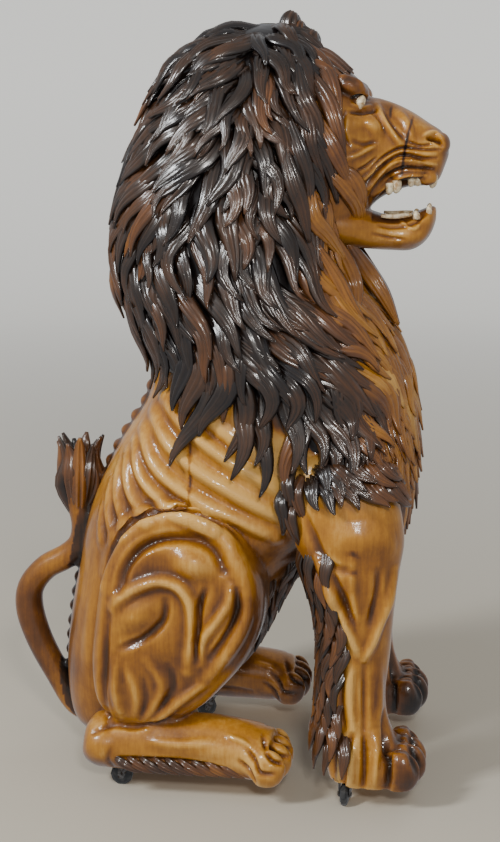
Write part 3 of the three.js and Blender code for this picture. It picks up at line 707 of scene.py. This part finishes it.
hem_places = [-100, -52, -34, 16, 60, 80, 122, 150, 260]
hem_heights = np.interp(x_share, hem_places, [585, 580, 562, 540, 530, 495, 460, 450, 450])
under_mane = smooth_step((z_share - hem_heights) / 14)
# Painted shade: faces turned in towards the lion's middle, low down between the legs and under the belly, are
# darkened.
inward_shade = smooth_step((-normals[:, 1] * np.sign(points[:, 1]) - 0.2) / 0.5) * (z_share < 330)
back_edge = np.interp(z_share, [r[0] for r in torso_rows], [r[1] for r in torso_rows])
spine = smooth_step((back_edge + 10 - x_share) / 8) * smooth_step((24 - y_share) / 8)
spine = spine * (z_share < 570) * (back_edge - x_share < 16)
tone = tone - 0.62 * under_mane - 0.22 * inward_shade - 0.38 * spine
put_value(body, "tone", tone)
# Painted shade: the hollow number darkens the body's hollows, partly as stain gathered there and partly as shade.
put_value(body, "hollow", hollows(points, normals, edges, 18, 0.0034))
most_body_triangles = 190000
thinned(body, most_body_triangles)
body.data.materials.append(body_wood)
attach(body, "carving")
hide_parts("lion")

# The head: brow, muzzle and jaws, carved in the same blocks and stained and varnished with them.
# The mouth is open right through from side to side, with painted shade on the faces between the jaws, and an old
# crack runs down behind the nose.

head_shells = [beam(skull_rows, 60, 56), beam(jaw_rows, 50, 48)]
for side in (-1, 1):
    head_shells += [
        ball((170, 42, 908), (27, 29, 13), 0.42, side), ball((189, 54, 857), (20, 9, 20), 0, side),
        ball((232, 42, 812), (34, 13, 17), 0.2, side), ball((284, 20, 838), (13, 19, 15), 0, side),
        ball((268, 34, 796), (14, 9, 10), 0, side),
    ]
head_mounds = [
    (196, 856, 24, 20, 0, 1), (176, 912, 22, 14, 0, 3), (222, 878, 14, 34, 35, -4), (250, 724, 34, 16, 0, 4),
]
head, points, edges = fused("lion_head", head_shells, 0.0027, 9)
normals = eased_normals(head, points, edges)
points = side_relief(points, normals, face_lines, head_mounds, least=10)
points = neighbours_mean(points, edges, 2)
normals = put_points(head, points)
head_tones = [
    (172, 914, 24, 16, -0.38), (294, 838, 14, 26, -0.32), (184, 893, 12, 8, -0.16), (250, 802, 60, 16, -0.14),
    (196, 856, 22, 18, 0.03), (240, 868, 44, 20, 0.14), (210, 760, 16, 14, -0.22), (262, 720, 30, 18, -0.06),
    (150, 860, 14, 60, -0.10), (205, 790, 30, 16, -0.10),
]
crack_lines = [
    (2.5, -0.6, [(249, 871), (241, 836), (237, 799)]), (2.5, -0.4, [(222, 884), (221, 878), (221, 870)]),
]
tone = patches(points, 0.68, head_tones) + line_relief(points, crack_lines) / share
mouth_height = 768
# Painted shade: the faces that look up or down between the jaws, inside the open mouth, are darkened.
jaw_shade = smooth_step((np.abs(normals[:, 2]) - 0.5) / 0.3)
jaw_shade = jaw_shade * (np.abs(points[:, 2] / share - mouth_height) < 30) * (points[:, 0] / share > 200)
put_value(head, "tone", tone - 0.25 * jaw_shade)
# Painted shade: the hollow number darkens the head's hollows, partly as stain gathered there and partly as shade.
put_value(head, "hollow", hollows(points, normals, edges, 16, 0.0020))
head.data.materials.append(body_wood)
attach(head, "carving")
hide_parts("lion")

# The core of the mane: the wood that the locks are carved out of, stained nearly black.
# It is seen only as the dark ground in the gaps between the locks, and it is darkened further all over by painted
# shade.

core = mesh_object("mane_core", *closed(tower(mane_rows, 90, 96, out=-13)))
put_value(core, "tone", np.full(len(core.data.vertices), 0.05))
# Painted shade: a high hollow number everywhere darkens the whole core, standing in for the shade in the gaps.
put_value(core, "hollow", np.full(len(core.data.vertices), 0.3))
core.data.materials.append(body_wood)
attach(core, "carving")
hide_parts("lion")

# The mane: pointed, fluted locks carved in the same wood, stained nearly black and golden brown at the chest.
# They lie over each other from a ring on the crown down to a ragged hem, parted high on each side.

drape_rows = [
    (320, -182, 232, 138, 2.2), (380, -162, 246, 141, 2.2), (440, -136, 251, 148, 2.2), (500, -104, 252, 153, 2.2),
] + mane_rows[5:]


def on_rows(rows, angle, z, out, middle=0.0):
    """A place on a tower of those rows, at an angle round it from the front and a height, moved outward."""
    heights = np.array([r[0] for r in rows], float)
    low = np.clip(np.searchsorted(heights, z, side="right") - 1, 0, len(heights) - 2)
    t = (low + np.clip((z - heights[low]) / (heights[low + 1] - heights[low]), 0, 1)) / (len(heights) - 1)
    _, back, front, half, power = np.moveaxis(eased(rows, t), -1, 0)
    along, across = rounded(angle, power)
    x = (back + front) / 2 + along * ((front - back) / 2 + out)
    return share * np.stack([x, middle + across * (half + out), z + 0 * x], -1)


def drape(angle, z, out):
    """The surface that the mane lies on, swelled over the shoulders."""
    high = 26 * smooth_step((512 - z) / 70) + 11 * smooth_step((450 - z) / 60)
    shoulder = high * np.exp(-((np.abs(angle) - 0.85) / 0.42) ** 2)
    return on_rows(drape_rows, angle, z, out + shoulder)


def frame_on(place, angle, z):
    """The length that a step of height and of angle takes on a surface, and its outward way, by differences."""
    here = place(angle, z, 0)
    down = place(angle, z - 1.5, 0) - here
    turn = place(angle + 0.01, z, 0) - place(angle - 0.01, z, 0)
    outward = np.cross(down, turn)
    outward /= np.linalg.norm(outward, axis=-1, keepdims=True)
    return np.linalg.norm(down, axis=-1) / 1.5, np.linalg.norm(turn, axis=-1) / 0.02, outward


def mane_lean(angle, z):
    """Which way the mane's locks lie, in radians from straight down, above 0 towards the back: parted on the
    side of the crown, then swept forward over the shoulder."""
    a = np.abs(angle)
    parted = 0.46 * np.tanh((a - 1.42) / 0.16) * smooth_step((z - 650) / 200)
    beside = np.exp(-((a - 1.05) / 0.55) ** 2)
    swept = -0.75 * beside * smooth_step((735 - z) / 130) * (0.3 + 0.7 * smooth_step((z - 500) / 90))
    return np.sign(angle) * (parted + swept)


def straight_down(angle, z):
    """No lean."""
    return 0 * angle


lock_wood = varnished("varnished_locks", True)
top_places = np.linspace(1, -1, 13)
lock_across = np.concatenate([top_places, [-0.6, 0.0, 0.6]])
lock_height = np.concatenate([np.sqrt(1 - top_places ** 2) ** 0.8, [-0.42, -0.5, -0.42]])
lock_sides = len(lock_across)


def swept_locks(paths, outward, half_width, thickness, flutes, shift):
    """Locks as rings along centre lines: a dome cut by sharp grooves between round flutes, over a shallow keel.
    Gives the rings, and how high each place of a ring stands."""
    way = np.gradient(paths, axis=1)
    way /= np.linalg.norm(way, axis=-1, keepdims=True)
    aside = np.cross(outward, way)
    aside /= np.linalg.norm(aside, axis=-1, keepdims=True)
    up = np.cross(way, aside)
    ridges = np.abs(np.sin(0.5 * np.pi * flutes[:, None] * (lock_across[None] + shift[:, None])))
    crest = np.where(lock_height > 0, lock_height * (0.56 + 0.44 * ridges), lock_height + 0 * ridges)
    rings = (paths[:, :, None] + aside[:, :, None] * (half_width[..., None] * lock_across)[..., None]
             + up[:, :, None] * (thickness[..., None] * crest[:, None])[..., None])
    return rings, crest


def lock_mesh(name, rings, crest, tone, length):
    """All locks of one piece as one mesh, each closed at both ends, with a tone, painted shade in the grooves and
    toward the root, and a map along and across it.
    """
    count, stations, sides = rings.shape[:3]
    made = mesh_object(name, *gathered(list(rings)))
    put_value(made, "tone", np.repeat(tone, stations * sides + 2))
    along = np.concatenate([np.repeat(np.linspace(0, 1, stations), sides), [0, 1]])
    across = np.concatenate([np.tile(lock_across, stations), [0, 0]])
    number = np.arange(count)[:, None]
    put_value(made, "across", (across[None] * 0.02 + number * 0.37).ravel())
    put_value(made, "along", (along[None] * length[:, None] + number * 0.11).ravel())
    # Painted shade: darker in the grooves between the flutes, on the keel and toward the root where each lock
    # comes out from under the others; the crests come out lighter, as worn.
    high = np.concatenate([np.tile(crest, (1, stations)), np.zeros((count, 1)), np.full((count, 1), 0.6)], 1)
    put_value(made, "hollow", np.clip(0.95 - 1.9 * np.maximum(high, 0) * (0.5 + 0.5 * along), -1, 1).ravel())
    made.data.materials.append(lock_wood)
    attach(made, "carving")
    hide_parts("lion")


def swelling(stations, tip=0.06):
    """Width along a lock: narrow where it comes out, broadest before the middle, and drawn to a point."""
    t = np.linspace(0, 1, stations)
    belly = np.sin(np.pi * np.clip(0.10 + 0.885 * t ** 0.85, 0, 1)) ** 0.8
    return 0.40 * (1 - t) ** 3 + belly * (1 - tip) + tip * 0.5


def hang(place, lean, seeds, lift=0.0, stations=13):
    """Locks hung on a surface from seeds of angle, height, length, half width, curl, phase and spread: each is
    stepped down along the lean with one S-shaped sway, starts sunk in the surface and ends lying out on it."""
    angle, z, length, width, curl, phase, spread = seeds.T
    ways, step = [], length * share / (stations - 1)
    for k in range(stations):
        ways.append(np.stack([angle, z], -1))
        down, turn, _ = frame_on(place, angle, z)
        heading = lean(angle, z) + curl * np.sin(2 * np.pi * k / (stations - 1) + phase)
        z = z - step * np.cos(heading) / down
        angle = angle + step * np.sin(heading) / turn
    ways = np.stack(ways, 1)
    t = np.linspace(0, 1, stations)
    height = -25 + 18 * smooth_step(t * 1.6) + 7 * t ** 2 + spread[:, None] * t + lift
    _, _, outward = frame_on(place, ways[..., 0], ways[..., 1])
    paths = place(ways[..., 0], ways[..., 1], 0) + outward * (share * height)[..., None]
    swell = swelling(stations)
    half_width = share * width[:, None] * swell
    thickness = share * (2.5 + 0.42 * width[:, None]) * np.maximum(swell, 0.22)
    return paths, outward, half_width, thickness


curtain_heights = [
    990, 984, 975, 962, 945, 924, 899, 872, 842, 811, 780, 748, 716, 684, 652, 620, 589, 560, 534, 510, 488, 466,
    445, 425, 405,
]


def curtain(side, rng):
    """Seeds in rows round one side, each row half a lock out of step with the one above, none over the face.
    One line of them runs down the parting, and loose ones are added on the crown and above the shoulder."""
    seeds = []
    for k, z in enumerate(curtain_heights):
        girth = 2.4 * np.interp(z, [450, 700, 860, 940, 990], [218, 165, 138, 92, 40])
        count = max(6, int(girth / 15.0))
        angle = (np.arange(count) + 0.5 * (k % 2) + rng.uniform(-0.28, 0.28, count)) / count * np.pi
        seeds.append(np.stack([angle, z + rng.uniform(-12, 12, count)], -1))
    parting = np.arange(985, 690, -17)
    seeds.append(np.stack([1.42 + 0.05 * np.sin(parting), parting], -1))
    seeds.append(np.stack([rng.uniform(0.95, 2.0, 52), rng.uniform(900, 992, 52)], -1))
    seeds.append(np.stack([rng.uniform(0.6, 1.35, 40), rng.uniform(455, 590, 40)], -1))
    angle, z = np.concatenate(seeds).T
    z = np.minimum(z, 986)
    count = len(angle)
    size = np.interp(z, [450, 700, 900, 990], [1.0, 1.0, 0.95, 0.8]) * rng.uniform(0.8, 1.2, count)
    length = rng.uniform(96, 150, count) * size
    length = np.where((z > 940) & (angle < 0.9), 62, length)
    length = np.where((z < 560) & (angle < 1.2), np.minimum(length, 112), length)
    width = rng.uniform(11.0, 15.0, count) * size
    curl = rng.uniform(0.30, 0.60, count) * np.where(rng.uniform(0, 1, count) < 0.75, 1, -1)
    phase = 1.2 * np.sin(2.6 * angle + z / 41) + rng.uniform(-0.6, 0.6, count)
    spread = rng.uniform(-3, 9, count) + 12 * smooth_step((640 - z) / 80)
    seeds = np.stack([side * angle, z, length, width, curl, phase, spread], -1)
    hem_angles = [0.0, 0.5, 0.9, 1.1, 1.35, 1.6, 1.9, 2.3, 2.6, 3.2]
    hem = np.interp(angle, hem_angles, [420, 418, 430, 462, 504, 532, 570, 608, 634, 636])
    hem = hem + np.where(angle > 1.1, 12 + 14 * np.sin(11 * angle), 8)
    face = (angle < np.interp(z, [690, 740, 900, 945], [0.46, 0.62, 0.68, 0.3])) & (z > 716) & (z < 950)
    return seeds[(z > hem) & ~face]


def curtain_tone(seeds, rng):
    """Dark over the back and sides, golden brown round the face, on the chest and in odd worn locks."""
    angle, z = np.abs(seeds[:, 0]), seeds[:, 1]
    low = z - 0.5 * seeds[:, 2]
    gold = smooth_step((1.20 - angle) / 0.40) * smooth_step((760 - low) / 110) * smooth_step((low - 370) / 70)
    gold = np.maximum(gold, 0.8 * smooth_step((1.02 - angle) / 0.30) * smooth_step((900 - z) / 80))
    worn = (rng.uniform(0, 1, len(seeds)) < 0.16) * rng.uniform(0.06, 0.22, len(seeds))
    return 0.12 + 0.48 * gold + worn + rng.uniform(-0.05, 0.08, len(seeds))


rng = np.random.default_rng(7)
cap_ring = 22
cap_count = 3 * cap_ring
cap = []
for k in range(cap_count):
    ring, place = divmod(k, cap_ring)
    angle = around(cap_ring)[place] - math.pi + 0.07 + 0.14 * ring
    cap.append((angle, 988 - 13 * ring, 88 + 8 * (k % 4), 12.5, 0.4 - 0.8 * (k % 3 == 0), 0.9 * k, 1))
cap = np.array(cap)
hung = hang(drape, mane_lean, cap, np.linspace(17, 1, 13))
rings, crest = swept_locks(*hung, np.full(cap_count, 4.0), rng.uniform(-0.3, 0.3, cap_count))
lock_mesh("mane_crown", rings, crest, rng.uniform(0.08, 0.24, cap_count), cap[:, 2] * share)
upper_from = 760
for side, name in ((-1, "mane_right"), (1, "mane_left")):
    all_seeds = curtain(side, rng)
    high = all_seeds[:, 1] > upper_from
    for part, chosen in (("upper", high), ("lower", ~high)):
        seeds = all_seeds[chosen]
        flutes = rng.choice([3.0, 4.0, 5.0], len(seeds))
        rings, crest = swept_locks(*hang(drape, mane_lean, seeds), flutes, rng.uniform(-0.3, 0.3, len(seeds)))
        lock_mesh(name + "_" + part, rings, crest, curtain_tone(seeds, rng), seeds[:, 2] * share)


def free_locks(name, rows, flutes=3.0, stations=13):
    """Locks along paths of their own: each row is a tone, the way outward, and marks of x, y, z, half width and
    thickness."""
    marks = np.array([eased(row[2], np.linspace(0, 1, stations)) for row in rows]) * share
    outward = np.repeat(np.array([row[1] for row in rows], float)[:, None], stations, 1)
    outward /= np.linalg.norm(outward, axis=-1, keepdims=True)
    count = np.full(len(rows), flutes)
    rings, crest = swept_locks(marks[..., :3], outward, marks[..., 3], marks[..., 4], count, 0.1 + 0 * count)
    length = np.linalg.norm(np.diff(marks[..., :3], axis=1), axis=-1).sum(1)
    lock_mesh(name, rings, crest, np.array([row[0] for row in rows]), length)


# The tuft of the tail: a ring of flame-shaped locks carved on the tail's upright end.
# They bend outward to thin points and are dark, with lighter ones between.
tuft_rows = []
for k in range(11):
    ring = 2 * math.pi * k / 11 + 0.3
    c, s, odd = math.cos(ring), math.sin(ring), k % 2
    tuft_rows.append((0.22 + 0.15 * (k % 3), (c, s, 0.1), [
        (-199 + 6 * c, 6 * s, 334, 8, 7), (-197 + (27 - 6 * odd) * c, 20 * s, 378 + 8 * odd, 12, 11),
        (-196 + (20 + 4 * odd) * c, 15 * s, 414 + 6 * (k % 3), 9, 8),
        (-196 + 32 * c, 21 * s, 446 - 9 * odd, 2.5, 2.5),
    ]))
free_locks("tail_tuft", tuft_rows)

# The crown: two short knobs of hair that stand up behind the forehead, and strands lying down over it.
# They are carved in the same wood, and the strands grow lighter to the sides.
crown_rows = []
for side in (-1, 1):
    for x, z, high, half, tone in ((88, 944, 57, 13, 0.16), (97, 940, 50, 10, 0.30), (114, 928, 50, 12, 0.22)):
        crown_rows.append((tone, (0.25, side, 0), [
            (x - 3, 5 * side, z, half, 10), (x, 9 * side, z + 0.45 * high, 1.15 * half, 13),
            (x + 4, 9 * side, z + 0.85 * high, half, 12), (x + 7, 6 * side, z + high, 0.5 * half, 6)]))
for y, down in ((-6, 0), (8, 0), (-22, 3), (24, 3), (-38, 8), (40, 8), (-54, 16), (56, 16)):
    crown_rows.append((0.34 + 0.004 * abs(y), (0.5, 0.006 * y, 0.8), [
        (92, 0.7 * y, 944 - down, 10, 8), (118, 0.9 * y, 953 - down, 12, 9),
        (142, 1.0 * y, 947 - 1.1 * down, 10, 8), (170, 1.05 * y, 929 - 1.2 * down, 3, 3),
    ]))
free_locks("crown_tufts", crown_rows)


def side_of(x, z):
    """How far out sideways the drape or the skull stands at a place of the side view, in shares."""
    widths = []
    for at, rows, value in ((z, drape_rows, x), (x, skull_rows, z)):
        table = np.array(sorted(rows), float)
        low, high, half, power = (np.interp(at, table[:, 0], table[:, k]) for k in (1, 2, 3, 4))
        off = abs(value - (low + high) / 2) / (abs(high - low) / 2)
        widths.append(half * max(0.0, 1 - off ** power) ** (1 / power))
    return max(widths)


# The locks that frame the face: long locks from crown to chest, each lying on the cheek or the mane beside it.
# They are the lightest of the mane, dark at the crown and golden at the chest.
face_paths = [
    (0.44, [(111, 961), (136, 935), (153, 900), (162, 857)]),
    (0.36, [(121, 926), (145, 891), (158, 857), (168, 819)]),
    (0.50, [(129, 876), (149, 841), (163, 813), (175, 786)]),
    (0.20, [(114, 891), (131, 845), (149, 810), (159, 766)]),
    (0.66, [(142, 810), (168, 786), (184, 754), (177, 710)]),
    (0.62, [(127, 788), (132, 751), (150, 725), (169, 693)]),
    (0.56, [(152, 727), (170, 690), (183, 654), (181, 611)]),
    (0.52, [(135, 715), (158, 675), (178, 639), (206, 602)]),
    (0.16, [(106, 936), (116, 897), (134, 861), (139, 817)]),
    (0.14, [(100, 869), (114, 831), (125, 793), (127, 751)]),
    (0.60, [(161, 810), (178, 795), (186, 771), (184, 740)]),
    (0.54, [(170, 715), (192, 678), (215, 644), (235, 605)]),
    (0.24, [(104, 905), (120, 868), (128, 830), (143, 795)]),
    (0.18, [(96, 835), (108, 795), (120, 760), (128, 720)]),
]
face_rows = []
for side in (-1, 1):
    for k, (tone, marks) in enumerate(face_paths):
        sizes = ((6, 5, -3), (12, 9, 3), (10, 8, 4), (2.5, 2.5, 3))
        face_rows.append((tone, (0.35, side, 0.1), [
            (x, side * (side_of(x, z) + lift + 2 * (k % 3)), z, half, thick)
            for (x, z), (half, thick, lift) in zip(marks, sizes)]))
free_locks("face_locks", face_rows, 4.0)

# The hair down the back of each foreleg and under the belly: short locks lying close on the skin.
# They are carved in the same wood and stained dark brown.


def leg_skin(side):
    """One foreleg's own surface, as a place for each angle round it, height and distance out."""
    return lambda angle, z, out: on_rows(foreleg_rows, angle, z, out, side * foreleg_middle)


wrist_height = 150
hair_parts = []
for side in (-1, 1):
    seeds = []
    for k, z in enumerate(np.arange(352, 108, -20)):
        for turn in (1.98, 2.38, 2.78, 3.18, 3.58):
            wrist = 8 if z < wrist_height else 0
            seeds.append((side * (turn + 0.18 * (k % 2)), z, 66, 9.5, 0.3, 0.9 * k + turn, 2 + wrist))
    hair_parts.append(hang(leg_skin(side), straight_down, np.array(seeds, float), 8))


def belly_skin(angle, z, out):
    """The torso's own surface."""
    return on_rows(torso_rows, angle, z, out)


seeds = [(turn + 0.09 * (k % 2), z, 62, 10.5, 0.35, 1.1 * k + turn, 3)
         for k, z in enumerate(np.arange(330, 160, -22)) for turn in (-0.62, -0.36, -0.12, 0.12, 0.36, 0.62)]
hair_parts.append(hang(belly_skin, straight_down, np.array(seeds, float), 9))
hair = [np.concatenate(part) for part in zip(*hair_parts)]
count = len(hair[0])
rings, crest = swept_locks(*hair, np.full(count, 4.0), rng.uniform(-0.3, 0.3, count))
lock_mesh("leg_hair", rings, crest, rng.uniform(0.14, 0.40, count), np.full(count, 64 * share))

# The short locks of the mane's hem that lie on each shoulder, two rows of them, swept forward.
# They are carved on the top of the foreleg and lighter to the front.


def forward(angle, z):
    """A steady lean to the front."""
    return -0.55 * np.sign(angle)


shoulder_parts = []
shoulder_tones = []
for side in (-1, 1):
    seeds = []
    for k, z in enumerate((462, 447)):
        for j in range(9):
            angle = side * (0.55 + 0.22 * j + 0.11 * (k % 2))
            seeds.append((angle, z - 2 * abs(j - 4), 56 + 9 * (j % 2), 11.5, 0.4, 0.8 * j + k, 3))
    shoulder_parts.append(hang(leg_skin(side), forward, np.array(seeds), 11))
    shoulder_tones += [0.50 - 0.20 * (abs(seed[0]) - 0.55) + 0.07 * math.sin(9 * seed[0]) for seed in seeds]
tips = [np.concatenate(part) for part in zip(*shoulder_parts)]
count = len(shoulder_tones)
rings, crest = swept_locks(*tips, np.full(count, 4.0), rng.uniform(-0.3, 0.3, count))
lock_mesh("shoulder_locks", rings, crest, np.array(shoulder_tones), np.full(count, 60 * share))

# The fringes: twisted strands along the lower outer edge of each hind foot, and four dark locks that hang
# in the notch between each shoulder and the flank. All are carved in the same wood.
fringe_rows = []
for side in (-1, 1):
    for x, z, turn in ((112, 442, -10), (124, 432, 7), (104, 418, -4), (116, 404, 6)):
        fringe_rows.append((0.14 + 0.012 * (x - 104), (-0.4, side, 0), [
            (x, side * 146, z, 6, 5), (x - 6, side * 158, z - 18, 10, 8),
            (x - 2, side * 158, z - 38, 8, 7), (x + turn, side * 148, z - 62, 2, 2)]))
    for k in range(11):
        x = -108 + 17 * k
        fringe_rows.append((0.34 + 0.06 * (k % 2), (0, side, -0.3), [
            (x - 12, side * 160, 54, 3, 3), (x, side * 168, 48, 7, 6), (x + 13, side * 169, 41, 6, 5),
            (x + 26, side * 165, 34, 2, 2)]))
free_locks("foot_fringes", fringe_rows)

# The teeth: small pegs and one low ridge on each side, carved with the jaws and painted cream.
# The paint is old, browner in patches and slightly chipped.


def painted(name, colour, dark):
    """Old cream paint, browner in its patches and slightly chipped, with a low satin gloss."""
    material, tree, surface = shader(name)
    place = tree.nodes.new("ShaderNodeTexCoord").outputs["Object"]
    stain = noise(tree, place, 90, 5, 0.65)
    ramp = tree.nodes.new("ShaderNodeValToRGB")
    ramp.color_ramp.elements[0].position, ramp.color_ramp.elements[0].color = 0.38, (*dark, 1)
    ramp.color_ramp.elements[1].position, ramp.color_ramp.elements[1].color = 0.60, (*colour, 1)
    tree.links.new(stain, ramp.inputs[0])
    tree.links.new(ramp.outputs[0], surface.inputs["Base Color"])
    surface.inputs["Roughness"].default_value = 0.4
    bump = node(tree, "ShaderNodeBump", Strength=0.4, Distance=0.0006)
    tree.links.new(stain, bump.inputs["Height"])
    tree.links.new(bump.outputs[0], surface.inputs["Normal"])
    return material


cream = painted("cream_paint", (0.72, 0.62, 0.42), (0.34, 0.20, 0.08))
upper_teeth = [
    (276, 26, 792, 6, 9), (257, 35, 792, 6, 6), (249, 37, 791, 5, 6), (231, 43, 785, 6, 8), (222, 46, 782, 5, 7),
]
lower_teeth = [(272, 22, 756, 4, 6), (256, 31, 750, 5, 4)]
lower_ridge = [(212, 47, 749, 2, 2), (224, 44, 748, 3, 3), (240, 39, 749, 3, 3), (250, 34, 750, 2, 2)]
tooth_shells = []
for side in (-1, 1):
    for x, y, z, half, high in upper_teeth:
        tooth_shells.append(limb([
            (x, y, z + 8, half, half), (x, y, z, half, half),
            (x - 1, y, z - 0.6 * high, 0.8 * half, 0.8 * half), (x - 2, y, z - high, 0.25 * half, 0.25 * half),
        ], 8, 10, side))
    for x, y, z, half, high in lower_teeth:
        tooth_shells.append(limb([
            (x, y, z - 6, half, half), (x, y, z + 0.4 * high, 0.9 * half, 0.9 * half),
            (x + 1, y, z + high, 0.3 * half, 0.3 * half),
        ], 8, 10, side))
    tooth_shells.append(limb(lower_ridge, 14, 10, side))
teeth = mesh_object("teeth", *gathered(tooth_shells))
teeth.data.materials.append(cream)
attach(teeth, "carving")
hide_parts("lion")

# The eyes: a slanted oval under the front of each brow, carved with the head and painted like the teeth.
# No pupil is painted on them.
eyes = mesh_object("eyes", *gathered([ball((184, 56, 888), (6, 7, 10), 0.45, side) for side in (-1, 1)]))
eyes.data.materials.append(cream)
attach(eyes, "carving")
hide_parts("lion")

# The castors: under each sole a turned steel stem with its disc, let in from below, a pressed steel fork
# that swivels on it, and a black rubber wheel on the fork's axle. They are the CAD solids with finishes.


def worn_metal(name, colour, rough):
    """Dull steel with rust-brown patches and fine scratches along no one way."""
    material, tree, surface = shader(name)
    place = tree.nodes.new("ShaderNodeTexCoord").outputs["Object"]
    spots = noise(tree, place, 160, 6, 0.65)
    ramp = tree.nodes.new("ShaderNodeValToRGB")
    ramp.color_ramp.elements[0].position, ramp.color_ramp.elements[0].color = 0.40, (0.045, 0.028, 0.018, 1)
    ramp.color_ramp.elements[1].position, ramp.color_ramp.elements[1].color = 0.58, (*colour, 1)
    tree.links.new(spots, ramp.inputs[0])
    tree.links.new(ramp.outputs[0], surface.inputs["Base Color"])
    surface.inputs["Metallic"].default_value = 0.85
    surface.inputs["Roughness"].default_value = rough
    bump = node(tree, "ShaderNodeBump", Strength=0.3, Distance=0.0003)
    tree.links.new(noise(tree, place, 500, 3), bump.inputs["Height"])
    tree.links.new(bump.outputs[0], surface.inputs["Normal"])
    return material


def worn_rubber(name):
    """Black rubber, greyed by dust in patches, with a satin face and a fine pitted surface."""
    material, tree, surface = shader(name)
    place = tree.nodes.new("ShaderNodeTexCoord").outputs["Object"]
    dust = noise(tree, place, 70, 5, 0.6)
    ramp = tree.nodes.new("ShaderNodeValToRGB")
    ramp.color_ramp.elements[0].position, ramp.color_ramp.elements[0].color = 0.45, (0.010, 0.010, 0.010, 1)
    ramp.color_ramp.elements[1].position, ramp.color_ramp.elements[1].color = 0.75, (0.060, 0.055, 0.050, 1)
    tree.links.new(dust, ramp.inputs[0])
    tree.links.new(ramp.outputs[0], surface.inputs["Base Color"])
    surface.inputs["Roughness"].default_value = 0.45
    bump = node(tree, "ShaderNodeBump", Strength=0.35, Distance=0.0004)
    tree.links.new(noise(tree, place, 420, 4), bump.inputs["Height"])
    tree.links.new(bump.outputs[0], surface.inputs["Normal"])
    return material


castor_finishes = {
    "stem": worn_metal("castor_steel", (0.30, 0.29, 0.28), 0.42),
    "fork": worn_metal("castor_dark_steel", (0.16, 0.155, 0.15), 0.48),
    "wheel": worn_rubber("castor_rubber"),
}
for part, material in castor_finishes.items():
    for name in castor_places:
        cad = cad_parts[f"castor_{part}_{name}"]
        cad.data.materials.clear()
        cad.data.materials.append(material)
